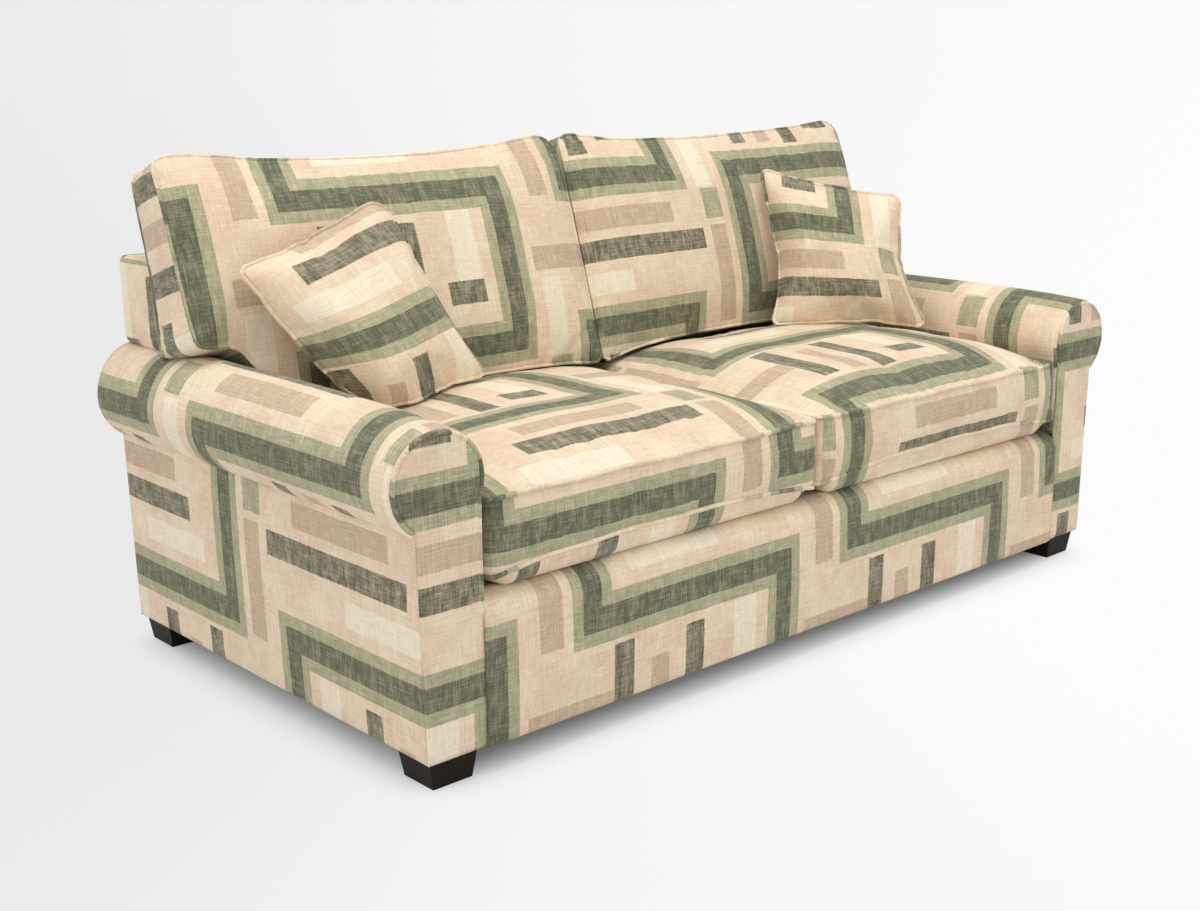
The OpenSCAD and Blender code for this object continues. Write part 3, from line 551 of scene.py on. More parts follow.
UPRIGHT = 2
MATERIALS = {slot: make(slot, *values) for slot, make, *values in (
    ("printed_linen", printed_linen),
    ("platform_cloth", plain_cloth, srgb(188, 192, 205), 0.05),
    ("dust_cloth", plain_cloth, srgb(28, 28, 29), 0.25, 0.95),
    ("webbing", plain_cloth, srgb(120, 88, 62), 0.22),
    ("zip_tape", plain_cloth, srgb(205, 190, 165), 0.10),
    ("espresso_wood", timber, srgb(30, 21, 15), srgb(18, 13, 10), 0.45, UPRIGHT, 0.10),
    ("beech", timber, srgb(214, 178, 134), srgb(182, 140, 96), 0.55),
    ("plywood", timber, srgb(208, 180, 138), srgb(180, 146, 104), 0.6, UPRIGHT),
    ("spring_steel", metal, srgb(150, 152, 156), 0.38),
    ("zip_metal", metal, srgb(178, 178, 172), 0.3),
    ("foam", filling, srgb(236, 226, 190), 0.002),
    ("fibre", filling, srgb(238, 238, 232), 0.006),
)}


def dress(obj, body, *replaced, slot="printed_linen"):
    """Gives a new piece the material of the given slot and its body, and hides what it stands for."""
    obj.data.materials.clear()
    obj.data.materials.append(MATERIALS[slot])
    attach(obj, body)
    if replaced:
        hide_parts(*replaced)


def cover(obj, fill, body, *replaced):
    """Dresses a padded piece in the linen."""
    dress(obj, body, *replaced)


def dress_frame():
    """Gives each remaining CAD node the material of its slot."""
    for entry in frame["record"]["subparts"]:
        obj = frame["nodes"][entry["node"]]
        material = MATERIALS[entry["material_slot"]]
        if obj.material_slots:
            for slot in obj.material_slots:
                slot.material = material
        else:
            obj.data.materials.append(material)


# Arms

WRAP_T = 0.003
PANEL_T = 0.004
# How the wrap draws in at the facing's cord, by the distance from its front
WRAP_END = [(0, 0.0060), (0.0012, 0.0032), (0.0035, 0.0012), (0.007, 0.0003)]
LIFT_Y = (-0.478, -0.40, -0.30, -0.15, 0.49)
LIFT = (-0.004, 0.0015, 0.0055, 0.008, 0.0085)
FACING_SHOULDER = math.radians(55)
HEM_RISE = 0.006
HEM_TUCK = 0.0022


def roll_arc(radius, turn):
    """Points in X and Z round the middle of a roll."""
    return stack(ROLL_X + radius * np.cos(turn), ROLL_Z + radius * np.sin(turn))


def roll_lift(y, z):
    """How far an arm's roll rises above a plain cylinder, by depth and height."""
    share = np.clip((z - ROLL_Z) / ROLL_R, 0, 1) ** 1.5
    return share * np.interp(y, LIFT_Y, LIFT)


def side_x(z):
    """X of the outside of an arm at height z, up to the crease under the roll."""
    return HALF_W + (SIDE_TOP_X - HALF_W) * (z - HEM_Z) / (SIDE_TOP_Z - HEM_Z)


def arm_profile():
    """The arm cover's line in X and Z, from the platform up the inner arm and over the roll."""
    inner = ROLL_LOW[0] + 0.006
    low_angle = 2 * math.pi - math.acos((inner - ROLL_X) / ROLL_R)
    roll = roll_arc(ROLL_R, np.linspace(low_angle, CREASE, 72))
    wall = [(inner, z) for z in np.linspace(ROLL_LOW[2], roll[0, 1], 16)[:-1]]
    tuck = [roll_arc(ROLL_R - inset, CREASE - turn) for turn, inset in ((0.04, 0.004), (0.07, 0.010))]
    return np.vstack([wall, roll, *tuck])


def arm_wrap(side):
    """Fabric over the inner arm and the roll, drawn in where it meets the facing's cord."""
    line = arm_profile()
    ahead = np.gradient(line, axis=0)
    ahead /= np.linalg.norm(ahead, axis=1)[:, None]
    normal = np.stack([-ahead[:, 1], ahead[:, 0]], axis=1)
    front = ROLL_LOW[1] - 0.003
    places = [(front + behind, inset) for behind, inset in WRAP_END]
    places += [(y, 0.0) for y in np.linspace(front + 0.02, ROLL_HIGH[1], 64)]
    grid = np.array([[(x, y, z) for x, z in line - normal * inset] for y, inset in places])
    grid[..., 2] += roll_lift(grid[..., 1], grid[..., 2])
    grid = uneven(grid, size=0.0012, scale=7.0, seed=3.0 + side)
    cloth = stack(FRONT_Y - first_column(places), arc_lengths(line))
    return sheet("arm_wrap_" + NAME[side], grid, cloth, WRAP_T, side, SIDE_PRINT[side], flip=True)


def facing_spans():
    """Rows of the facing from the hem up: height, inner and outer edge."""
    radius = ROLL_R - CORD_R - 0.0025
    inner = POST_IN + CORD_R + 0.001
    inner_join = ROLL_Z - half_chord(radius, ROLL_X - inner)
    outer_join = ROLL_Z - radius * math.sin(FACING_SHOULDER)
    shoulder_x = ROLL_X + radius * math.cos(FACING_SHOULDER)
    post = np.linspace(HEM_Z, inner_join, 50)
    turn = np.linspace(math.asin((inner_join - ROLL_Z) / radius), math.pi / 2, 44)
    rows = []
    for z in np.concatenate([post, ROLL_Z + radius * np.sin(turn)[1:]]):
        reach = half_chord(radius, z - ROLL_Z)
        low = inner if z <= inner_join + 1e-9 else ROLL_X - reach
        if z < SIDE_TOP_Z:
            high = side_x(z)
        elif z < outer_join:
            share = (z - SIDE_TOP_Z) / (outer_join - SIDE_TOP_Z)
            high = SIDE_TOP_X + (shoulder_x - SIDE_TOP_X) * share
        else:
            high = ROLL_X + reach
        rows.append((z, low, high))
    return rows


def span_panel(rows, columns):
    """A flat grid of 2-D points between the inner and outer edges of rows."""
    shares = (crowded(columns, 0.6) + 1) / 2
    return np.array([[(low + (high - low) * s, z) for s in shares] for z, low, high in rows])


def facing_panel(side):
    """The padded front of an arm inside its cord."""
    flat = span_panel(facing_spans(), 30)
    depth = padded_edge(from_rim(flat), radius=0.0035, crown=0.0020, reach=0.05)
    x, z = flat[..., 0], flat[..., 1]
    grid = stack(x, FRONT_Y + depth, z + roll_lift(FRONT_Y, z))
    grid = uneven(grid, size=0.0008, scale=9.0, seed=11.0 + side)
    return sheet("facing_panel_" + NAME[side], grid, flat, PANEL_T, side)


def facing_cord(side):
    """The self-piped cord round a facing's roll and down its inner edge."""
    radius = ROLL_R - CORD_R
    leg_x = POST_IN + CORD_R
    end = 2 * math.pi - math.acos((leg_x - ROLL_X) / radius)
    arc = roll_arc(radius, np.linspace(CREASE + 0.03, end, 90))
    leg = [(leg_x, z) for z in np.linspace(arc[-1, 1], HEM_Z + 0.002, 50)[1:]]
    x, z = np.vstack([arc, leg]).T
    sunk = 0.0004 + 0.0022 * np.clip((ROLL_Z - z) / ROLL_R, 0, 1)
    path = stack(x, FRONT_Y + CORD_R + sunk, z + roll_lift(FRONT_Y, z))
    path = uneven(path, size=0.0006, scale=22.0, seed=5.0 + side)
    return tube("facing_cord_" + NAME[side], path, CORD_R, side=side)


def side_panel(side):
    """The padded outside of an arm, from the hem up under the roll."""
    heights = [HEM_Z, HEM_Z + 0.002, *np.linspace(HEM_Z + HEM_RISE, SIDE_TOP_Z + 0.006, 44)]
    front = FRONT_Y + 0.006
    along = (crowded(70, 0.5) + 1) / 2 * (REAR_LOW[1] - front) + front
    near_end = np.minimum(np.minimum(along - front, REAR_LOW[1] - along) / 0.08, 1)
    rows = []
    for z in heights:
        share = min(max((z - HEM_Z) / (SIDE_TOP_Z - HEM_Z), 0), 1)
        swell = 0.0025 * math.sin(math.pi * share)
        hem = HEM_TUCK * max(0, 1 - (z - HEM_Z) / HEM_RISE) ** 2
        tuck = 0.004 * max(0, (z - SIDE_TOP_Z + 0.002) / 0.008)
        rows.append(stack(side_x(z) + swell * near_end - hem - tuck, along, z))
    grid = uneven(np.array(rows), size=0.0012, scale=6.0, seed=17.0 + side)
    cloth = stack(-grid[..., 1], grid[..., 2])
    return sheet("side_panel_" + NAME[side], grid, cloth, PANEL_T, side, SIDE_PRINT[side])


# Front and deck

NOSE_R = 0.040
NOSE_END = math.radians(52)


def front_panel():
    """The padded front under the seat, with its soft nose."""
    nose_z = RAIL_HIGH[2] - NOSE_R
    line = [(FRONT_Y + 0.003, HEM_Z), (FRONT_Y + 0.0008, HEM_Z + 0.002)]
    line += [(FRONT_Y, z) for z in np.linspace(HEM_Z + HEM_RISE, nose_z, 26)]
    turn = np.linspace(math.pi, NOSE_END, 23)[1:]
    line += [(FRONT_Y + NOSE_R + NOSE_R * math.cos(a), nose_z + NOSE_R * math.sin(a)) for a in turn]
    line = np.array(line)
    half = RAIL_HIGH[0] + 0.004
    xs = crowded(130, 0.25)[:, None] * half
    grid = stack(xs, *line.T)
    from_end = half - np.abs(grid[..., 0])
    swell = 0.0024 * np.sin(math.pi * np.clip((grid[..., 2] - HEM_Z) / (nose_z - HEM_Z), 0, 1))
    grid[..., 1] -= swell * np.clip(from_end / 0.06, 0, 1)
    grid[..., 1] += 0.0025 * np.clip(1 - from_end / 0.009, 0, 1) ** 2
    grid = uneven(grid, size=0.0014, scale=5.0, seed=23.0)
    return sheet("front_panel", grid, stack(xs, arc_lengths(line)), WRAP_T)


def deck_border():
    """The pale cloth between the nose of the front and the deck."""
    top = RAIL_HIGH[2]
    line = [(FRONT_Y + 0.046, top - 0.0030), (FRONT_Y + 0.056, top - 0.0010),
            (FRONT_Y + 0.068, top - 0.0002), (RAIL_HIGH[1] + 0.004, top + 0.0002)]
    xs = np.linspace(-DECK_X, DECK_X, 60)[:, None]
    grid = uneven(stack(xs, *np.array(line).T), size=0.0004, scale=9.0, seed=27.0)
    return sheet("deck_border", grid, grid[..., :2], 0.002)


# Back frame

BACK_TOP_D = 0.143
EDGE_R = 0.016
EAR_RISE = 0.0115
EAR_WIDEN = 0.013
EAR_TUCK = 0.015
TUCK_RISE = 0.030
PANEL_INSET = 0.007
BACK_HALF = BACK_HIGH[0] + EAR_WIDEN


def back_slope(z):
    """Y of the leaning inside back at height z."""
    return REAR_Y - BACK_TOP_D - (BACK_HIGH[2] - z) * TAN_LEAN


def round_corner(before, corner, after, radius, count=7):
    """An arc that rounds a corner of a 2-D outline."""
    before, corner, after = (np.array(p) for p in (before, corner, after))
    a = (before - corner) / np.linalg.norm(before - corner)
    b = (after - corner) / np.linalg.norm(after - corner)
    half = math.acos(np.clip(a @ b, -1, 1)) / 2
    reach = radius / math.tan(half)
    middle = corner + (a + b) / np.linalg.norm(a + b) * radius / math.sin(half)
    first = corner + a * reach - middle
    last = corner + b * reach - middle
    sweep = math.acos(np.clip(first @ last / radius**2, -1, 1))
    t = np.linspace(0, 1, count)[:, None]
    return middle + (np.sin((1 - t) * sweep) * first + np.sin(t * sweep) * last) / math.sin(sweep)


def back_top():
    """The upholstered top of the back frame above the arms, with soft ears at its ends."""
    low = ROLL_HIGH[2] + 0.0006
    high = BACK_HIGH[2] + EAR_RISE
    corners = [(back_slope(low), low), (back_slope(high), high), (REAR_LOW[1], high), (REAR_LOW[1], low)]
    outline = []
    for k, radius in enumerate((0.012, 0.022, 0.007, 0.012)):
        outline.extend(round_corner(corners[k - 1], corners[k], corners[(k + 1) % 4], radius))
    outline = resample(np.vstack([outline, outline[:1]]), 97)[:-1]
    middle = outline.mean(axis=0)
    extent = (outline.max(axis=0) - outline.min(axis=0)) / 2

    def shrunk(inset):
        """The outline drawn in towards its middle."""
        return middle + (outline - middle) * (1 - inset / extent)

    left = [(-BACK_HALF, middle + (shrunk(EDGE_R) - middle) * share) for share in (0.0, 0.35, 0.7)]
    left += [(-BACK_HALF + EDGE_R * (1 - math.cos(a)), shrunk(EDGE_R * (1 - math.sin(a))))
             for a in np.linspace(0, math.pi / 2, 8)]
    straight = np.linspace(-1, 1, 90)[1:-1] * (BACK_HALF - EDGE_R)
    rings = left + [(x, outline) for x in straight] + [(-x, ring) for x, ring in reversed(left)]
    grid = np.array([[(x, y, z) for y, z in ring] for x, ring in rings])
    near_arm = np.clip(1 - (grid[..., 2] - low) / TUCK_RISE, 0, 1) ** 2
    near_end = np.clip(np.abs(grid[..., 0]) / BACK_HALF * 6 - 5, 0, 1)
    grid[..., 0] -= EAR_TUCK * near_arm * near_end * np.sign(grid[..., 0])
    grid = uneven(grid, size=0.0012, scale=6.0, seed=31.0)
    skin = Skin()
    index = ring_closed(skin.add(grid))
    cloth = stack(first_column(rings), arc_lengths(outline, closed=True))
    flat = ring_closed(grid)[..., 1:]
    cap = len(left) - 4
    skin.quads(index[:cap + 1], flat[:cap + 1])
    skin.quads(index[cap:-cap], cloth[cap:-cap])
    skin.quads(index[-cap - 1:], flat[-cap - 1:])
    return skin.build("back_top")


def back_inner():
    """The inside back between the arms, behind and under the back cushions."""
    inner = ROLL_LOW[0] - 0.0008
    heights = np.linspace(BACK_LOW[2], ROLL_HIGH[2] + 0.02, 30)[:, None]
    grid = stack(np.linspace(-inner, inner, 100), back_slope(heights) + 0.0004, heights)
    return sheet("back_inner", grid, grid[..., ::2] / (1, math.cos(LEAN)), PANEL_T)


def rear_panel():
    """The outside back, with the arms' rolls at both sides."""
    half = BACK_HALF - PANEL_INSET
    top = REAR_HIGH[2] + EAR_RISE - PANEL_INSET / 2
    heights = np.concatenate([
        np.linspace(HEM_Z, SIDE_TOP_Z, 40),
        ROLL_Z + ROLL_R * np.sin(np.linspace(CREASE, 1.35, 30))[1:],
        np.linspace(ROLL_HIGH[2] - 0.001, top - EDGE_R, 16),
        top - EDGE_R + EDGE_R * np.sin(np.linspace(0, math.pi / 2, 8))[1:],
    ])
    rows = []
    for z in heights:
        if z <= SIDE_TOP_Z:
            edge = side_x(z)
        elif z < ROLL_HIGH[2]:
            edge = max(ROLL_X + half_chord(ROLL_R, z - ROLL_Z), half - EAR_TUCK)
        else:
            tuck = EAR_TUCK * max(1 - (z - ROLL_HIGH[2]) / TUCK_RISE, 0) ** 2
            edge = half - EDGE_R + half_chord(EDGE_R, max(z - (top - EDGE_R), 0)) - tuck
        above = np.clip(1 - (z - ROLL_HIGH[2]) / 0.10, 0, 1)
        rows.append((z + above * roll_lift(REAR_Y, z), -edge, edge))
    flat = span_panel(rows, 110)
    depth = padded_edge(from_rim(flat), radius=0.004, crown=0.002, reach=0.06)
    grid = stack(flat[..., 0], REAR_Y - depth, flat[..., 1])
    grid = uneven(grid, size=0.0010, scale=4.0, seed=41.0)
    return sheet("rear_panel", grid, flat * (-1, 1), 0.005, flip=True)


# Cushions

SIM_FRAMES = 18
CLOTH = dict(quality=6, mass=0.25, air_damping=3.0, tension_stiffness=18, compression_stiffness=18,
             shear_stiffness=8, bending_stiffness=0.6, use_pressure=True, vertex_group_mass="held")


def swell(pieces):
    """Lets stuffed pieces swell together as cloth. Each is an object, the weights that hold its
    points, how far they may move, the pressure and the excess of cloth."""
    for obj, held, _, pressure, excess in pieces:
        group = obj.vertex_groups.new(name="held")
        for weight in np.unique(held[held > 0]):
            group.add(np.flatnonzero(held == weight).tolist(), float(weight), "REPLACE")
        cloth = add_modifier(obj, "CLOTH")
        assign(cloth.settings, **CLOTH, shrink_min=-excess, uniform_pressure_force=pressure)
        cloth.settings.effector_weights.gravity = 0
        cloth.collision_settings.use_self_collision = False
        assign(cloth.point_cache, frame_start=1, frame_end=SIM_FRAMES)
    for number in range(1, SIM_FRAMES + 1):
        bpy.context.scene.frame_set(number)
    graph = bpy.context.evaluated_depsgraph_get()
    for obj, _, caps, _, _ in pieces:
        before = vertex_places(obj.data)
        move = vertex_places(obj.evaluated_get(graph).data) - before
        length = np.linalg.norm(move, axis=1)
        share = caps * np.tanh(length / np.maximum(caps, 1e-6)) / np.maximum(length, 1e-9)
        obj.modifiers.remove(obj.modifiers["cloth"])
        obj.vertex_groups.clear()
        obj.data.vertices.foreach_set("co", (before + move * share[:, None]).ravel())
        obj.data.update()
    bpy.context.scene.frame_set(1)


def round_plan(u, v, half_x, half_y, radius):
    """Maps -1 to 1 both ways onto a rectangle with round corners."""
    x = u * half_x
    y = v * half_y
    over_x = np.clip((np.abs(x) - half_x + radius) / radius, 0, 1)
    over_y = np.clip((np.abs(y) - half_y + radius) / radius, 0, 1)
    x = x - np.sign(x) * radius * over_x * (1 - np.sqrt(1 - over_y**2 / 2))
    y = y - np.sign(y) * radius * over_y * (1 - np.sqrt(1 - over_x**2 / 2))
    return x, y


def rim_of(index):
    """The closed loop of indices round a grid, from its first corner."""
    return np.concatenate([index[0, :-1], index[:-1, -1], index[-1, :0:-1], index[:0:-1, 0]])


def add_band(skin, rims, outward, rows, belly, power=1.0):
    """Adds the side band between a cushion's rims. Returns the grid of its indices with the
    rims, and that of its places."""
    start, end = (np.vstack(skin.places)[rim] for rim in rims)
    rings = np.array([start + (end - start) * share + outward * belly * math.sin(math.pi * share) ** power
                      for share in np.linspace(0, 1, rows)])
    band = skin.add(rings[1:-1])
    return np.vstack([rims[0], band, rims[1]]), rings


def seam_cords(kind, side, seams, radius, scale, seed, shift):
    """The piped seams of a cushion, each given as its level, its path and the cloth beside it."""
    return [tube("%s_cord_%s_%s" % (kind, level, NAME[side]), uneven(path, 0.0008, scale, seed + side),
                 radius, closed=True, side=side, print_line=beside, shift=shift)
            for level, path, beside in seams]


SEAT_SEAM_TOP = 0.460
SEAT_SEAM_LOW = 0.331
SEAT_PRINT_START = 0.125
SEAT_FRONT = -0.4825
SEAT_CROWN = {-1: 0.044, 1: 0.050}
SEAM_INSET = 0.0048
SEAT_CORNER = 0.021
SEAT_BELLY = 0.0045
SEAT_ARCH = {-1: 0.018, 1: 0.021}
ARCH_REACH = 0.080
# The bottom panel falls in a quarter round behind the front seam, and open at its sides
UNDER_REACH = 0.038
UNDER_ARC = 0.066
UNDER_SIDE = 0.047
UNDER_REAR = 0.050
# How far the swelling may move a seat cushion's points
FACE_CAP = 0.012
REAR_CAP = 0.004
FRONT_BAND_CAP = 0.006
BAND_CAP = 0.0025


def seat_cushion(side):
    """A box cushion with piped edges: its object, held weights, caps and seams."""
    low_x = SEAT_LOW[0] + SEAM_INSET
    high_x = SEAT_HIGH[0] - SEAM_INSET
    back_y = SEAT_HIGH[1] - SEAM_INSET
    half_x = (high_x - low_x) / 2
    half_y = (back_y - SEAT_FRONT) / 2
    centre = np.array([(low_x + high_x) / 2, (SEAT_FRONT + back_y) / 2])
    u, v = np.meshgrid(crowded(70, 0.65), crowded(70, 0.78))
    x, y = round_plan(u, v, half_x, half_y, SEAT_CORNER)
    x = x + centre[0]
    y = y + centre[1]
    wave = 0.0012 * np.sin(x * 31 + side) + 0.0010 * np.sin(y * 37 + 2 * side)
    dome = (1 - np.abs(u) ** 5) * (1 - np.abs(v) ** 5)
    top = stack(x, y, SEAT_SEAM_TOP + wave + SEAT_CROWN[side] * dome)
    floor = SEAT_LOW[2] + 0.0006
    from_front = (v + 1) * half_y
    turn = np.clip(from_front / UNDER_ARC, 0, 1) * math.pi / 2
    beyond = np.clip(from_front - UNDER_ARC, 0, None) * (half_y - UNDER_REACH) / (half_y - UNDER_ARC)
    forward = np.minimum(UNDER_REACH * (1 - np.cos(turn)) + beyond - from_front, 0)
    from_side = np.clip((1 - np.abs(u)) * half_x / UNDER_SIDE, 0, 1)
    from_rear = np.clip((1 - v) * half_y / UNDER_REAR, 0, 1)
    full = (1 - (1 - from_side) ** 1.25) * np.sqrt(1 - (1 - from_rear) ** 2)
    arch = SEAT_ARCH[side] * (1 - np.abs(u) ** 3) * np.clip(1 - from_front / ARCH_REACH, 0, 1)
    edge_z = SEAT_SEAM_LOW + wave * 0.8 + arch
    bottom = stack(x, y + forward * full, edge_z + (floor - edge_z) * np.sin(turn) * full)
    skin = Skin(side, SEAT_PRINT[side])
    top_index = skin.add(top)
    low_index = skin.add(bottom)
    flat = stack(x, y - SEAT_FRONT)
    skin.quads(top_index, flat + (0, SEAT_PRINT_START))
    skin.quads(low_index, flat * (1, -1), flip=True)
    rim_top = rim_of(top_index)
    rim_low = rim_of(low_index)
    places = np.vstack(skin.places)
    outward = places[rim_top, :2] - centre
    at_edge = np.clip((np.abs(outward) - (half_x, half_y) + SEAT_CORNER) / SEAT_CORNER, 0, 1)
    outward = np.sign(outward) * at_edge
    outward /= np.maximum(np.linalg.norm(outward, axis=1), 1e-6)[:, None]
    outward = stack(*outward.T, 0.0)
    index, rings = add_band(skin, (rim_low, rim_top), outward, 13, SEAT_BELLY, 0.7)
    heights = ring_closed(rings[..., 2]) - SEAT_SEAM_LOW
    skin.quads(ring_closed(index), stack(arc_lengths(rings[0], closed=True) + low_x, heights))
    obj = skin.build("seat_cushion_" + NAME[side], merge=False)
    held = np.zeros(skin.count)
    held[low_index.ravel()] = 1
    held[rim_top] = 1
    caps = np.full(skin.count, FACE_CAP)
    caps[:len(places)] -= (FACE_CAP - REAR_CAP) * np.clip((places[:, 1] - 0.02) / 0.08, 0, 1)
    at_front = rings[1:-1, :, 1] < SEAT_FRONT + 0.03
    caps[index[1:-1]] = np.where(at_front, FRONT_BAND_CAP, BAND_CAP)
    seams = [(level, loop + outward * 0.0004, loop[:, :2] + (0, SEAT_PRINT_START - SEAT_FRONT))
             for level, loop in (("top", rings[-1]), ("low", rings[0]))]
    return obj, held, caps, seams


CUSHION_T = 0.139
BACK_BELLY = 0.002
BACK_FACE_CAP = 0.010
BACK_BAND_CAP = 0.003
SEAM_Y = 0.2606
SEAM_TOP = 0.960
TOP_EDGE = {
    1: [(0.0115, 0.936), (0.0165, 0.9525), (0.028, 0.962), (0.050, 0.9645), (0.090, 0.959), (0.160, 0.950),
        (0.260, 0.945), (0.427, 0.943), (0.634, 0.948), (0.781, 0.955), (0.870, 0.963), (0.905, 0.9635),
        (0.922, 0.957), (0.930, 0.943), (0.932, 0.930)],
    -1: [(0.0125, 0.932), (0.0175, 0.949), (0.030, 0.9600), (0.052, 0.9635), (0.085, 0.961), (0.135, 0.955),
         (0.215, 0.9485), (0.330, 0.9425), (0.450, 0.9415), (0.550, 0.943), (0.650, 0.946), (0.720, 0.949),
         (0.790, 0.957), (0.865, 0.964), (0.903, 0.9645), (0.921, 0.959), (0.930, 0.946), (0.932, 0.932)],
}
OUTER_EDGE = [(0.793, 0.494), (0.798, 0.503), (0.799, 0.540), (0.806, 0.563), (0.822, 0.588), (0.842, 0.615),
              (0.866, 0.627), (0.900, 0.6290), (0.919, 0.632), (0.9275, 0.640), (0.9295, 0.66),
              (0.930, 0.72), (0.932, 0.80), (0.932, 0.87)]
INNER_EDGE = [(0.0056, 0.53), (0.0054, 0.70), (0.0058, 0.82), (0.0076, 0.89)]
WING_CORNER = (0.925, 0.630)
# Height of the bottom's ends, and how far its middle rises above them
ARCH = {-1: (0.487, 0.018), 1: (0.486, 0.031)}


def edge_sides(side):
    """The back cushion's front outline in X and Z as bottom, outer, top and inner sides."""
    low, rise = ARCH[side]
    arch = [(x, low + rise * (1 - abs((x - 0.40) / 0.40) ** 3.2)) for x in np.linspace(0.018, 0.786, 40)]
    first = arch[0][1]
    bottom = [(0.006, first + 0.007), (0.010, first + 0.0015)] + arch + [OUTER_EDGE[0]]
    top = TOP_EDGE[side]
    across = 74
    upward = 64
    return (resample(bottom, across), smooth_curve(OUTER_EDGE + [top[-1]], upward),
            smooth_curve(top, across), smooth_curve([bottom[0], *INNER_EDGE, top[0]], upward))


def coons(bottom, right, top, left):
    """Fills the space between four sides with a grid of points."""
    s = np.linspace(0, 1, len(bottom))[None, :, None]
    t = np.linspace(0, 1, len(left))[:, None, None]
    ruled = (1 - t) * bottom[None] + t * top[None] + (1 - s) * left[:, None] + s * right[:, None]
    corners = ((1 - s) * (1 - t) * bottom[0] + s * (1 - t) * bottom[-1] + (1 - s) * t * top[0]
               + s * t * top[-1])
    return ruled - corners


def cushion_place(flat, thick):
    """Puts points given by X, Z at the front seam's plane and depth into the sofa's frame."""
    y = SEAM_Y - (SEAM_TOP - flat[..., 1]) * TAN_LEAN - thick * math.cos(LEAN)
    z = flat[..., 1] + thick * math.sin(LEAN)
    return stack(flat[..., 0], y, z)


def roll_back(flat):
    """How far the front face of a back cushion draws back near its top and its outer edge."""
    top = 0.018 * np.exp(-np.clip(0.957 - flat[..., 1], 0, 1) / 0.09)
    return top + 0.006 * step(flat[..., 0], 0.80, 0.93) * step(flat[..., 1], 0.63, 0.72)


def back_cushion(side):
    """A winged box cushion: its object, held weights, caps and seams."""
    flat = coons(*edge_sides(side))
    away = from_rim(flat)
    crown = (0.020 * (1 - (1 - np.clip(away / 0.15, 0, 1)) ** 2.4)
             + 0.005 * (1 - (1 - np.clip(away / 0.025, 0, 1)) ** 2))
    skin = Skin(side, BACK_PRINT[side])
    front_index = skin.add(cushion_place(flat, crown - roll_back(flat)))
    # The rear seam's bottom stays level, where the front one arches
    rear_flat = flat.copy()
    lift = np.clip(sum(ARCH[side]) - flat[..., 1], 0, 1) * np.clip((0.80 - flat[..., 0]) / 0.02, 0, 1)
    rear_flat[..., 1] += lift * 0.9
    rear_flat[..., 0] -= 0.013 * step(flat[..., 0], 0.80, 0.92) * step(flat[..., 1], 0.62, 0.80)
    at_corner = np.exp(-((flat - WING_CORNER) ** 2).sum(-1) / 0.03**2)
    rear_flat += at_corner[..., None] * (0.003, -0.003)
    rear_index = skin.add(cushion_place(rear_flat, -CUSHION_T))
    cloth = flat / (1, math.cos(LEAN))
    skin.quads(front_index, cloth)
    skin.quads(rear_index, cloth * (-1, 1), flip=True)
    rim_front = rim_of(front_index)
    rim_rear = rim_of(rear_index)
    places = np.vstack(skin.places)
    middle = (places[rim_front] + places[rim_rear]) / 2
    ahead = np.roll(middle, -1, axis=0) - np.roll(middle, 1, axis=0)
    outward = np.cross(ahead, (0, math.cos(LEAN), -math.sin(LEAN)))
    outward /= np.linalg.norm(outward, axis=1)[:, None]
    if (outward * (middle - middle.mean(axis=0))).sum() < 0:
        outward = -outward
    index, rings = add_band(skin, (rim_rear, rim_front), outward, 11, BACK_BELLY)
    depths = np.linspace(0, CUSHION_T, len(rings))[:, None]
    skin.quads(ring_closed(index), stack(arc_lengths(rings[-1], closed=True), depths))
    obj = skin.build("back_cushion_" + NAME[side], merge=False)
    held = np.zeros(skin.count)
    held[rear_index.ravel()] = 1
    held[rim_front] = 1
    caps = np.full(skin.count, BACK_FACE_CAP)
    caps[index[1:-1]] = BACK_BAND_CAP
    # The front cord slips back along the top edge, and the rear one lies within the band
    at_top = step(rings[-1][:, 2], 0.925, 0.945)[:, None]
    moves = {"front": at_top * (0, 0.0018, -0.0010),
             "rear": np.array([0, -math.cos(LEAN), math.sin(LEAN)]) * 0.0048}
    seams = [(level, loop + outward * 0.0005 + moves[level], loop[:, ::2] / (1, math.cos(LEAN)))
             for level, loop in (("front", rings[-1]), ("rear", rings[0]))]
    return obj, held, caps, seams


# Corners of the scatter cushions as seen from the front: top left, top right, bottom right
# and bottom left
SCATTER_CORNERS = {
    -1: [(-0.870, 0.105, 0.766), (-0.528, 0.181, 0.858), (-0.375, 0.060, 0.5205), (-0.703, 0.018, 0.5265)],
    1: [(0.555, 0.177, 0.861), (0.724, -0.088, 0.803), (0.712, -0.185, 0.5200), (0.472, 0.062, 0.5215)],
}
# How the sides leave the straight lines between them: side, peak along it, along the pillow's
# width, along its height, and forwards
SCATTER_BOWS = {
    -1: [("left", 0.45, (-0.014, 0.0, 0.0)), ("right", 0.75, (0.018, 0.0, 0.0)),
         ("top", 0.6, (0.0, 0.008, 0.0)), ("bottom", 0.33, (-0.030, -0.002, 0.072))],
    1: [("left", 0.28, (0.018, 0.0, 0.0)), ("right", 0.42, (-0.017, 0.0, 0.0))],
}
SCATTER_HALF = 0.19
SCATTER_CORNER = 0.020
SCATTER_START = 0.004
# Share of the swelling along the cloth that is kept, and the seam's distance past the corners
SCATTER_SPREAD = 0.30
SCATTER_EASE = 0.003
SCATTER_FRONT = 0.060
SCATTER_REAR = {-1: 0.040, 1: 0.042}


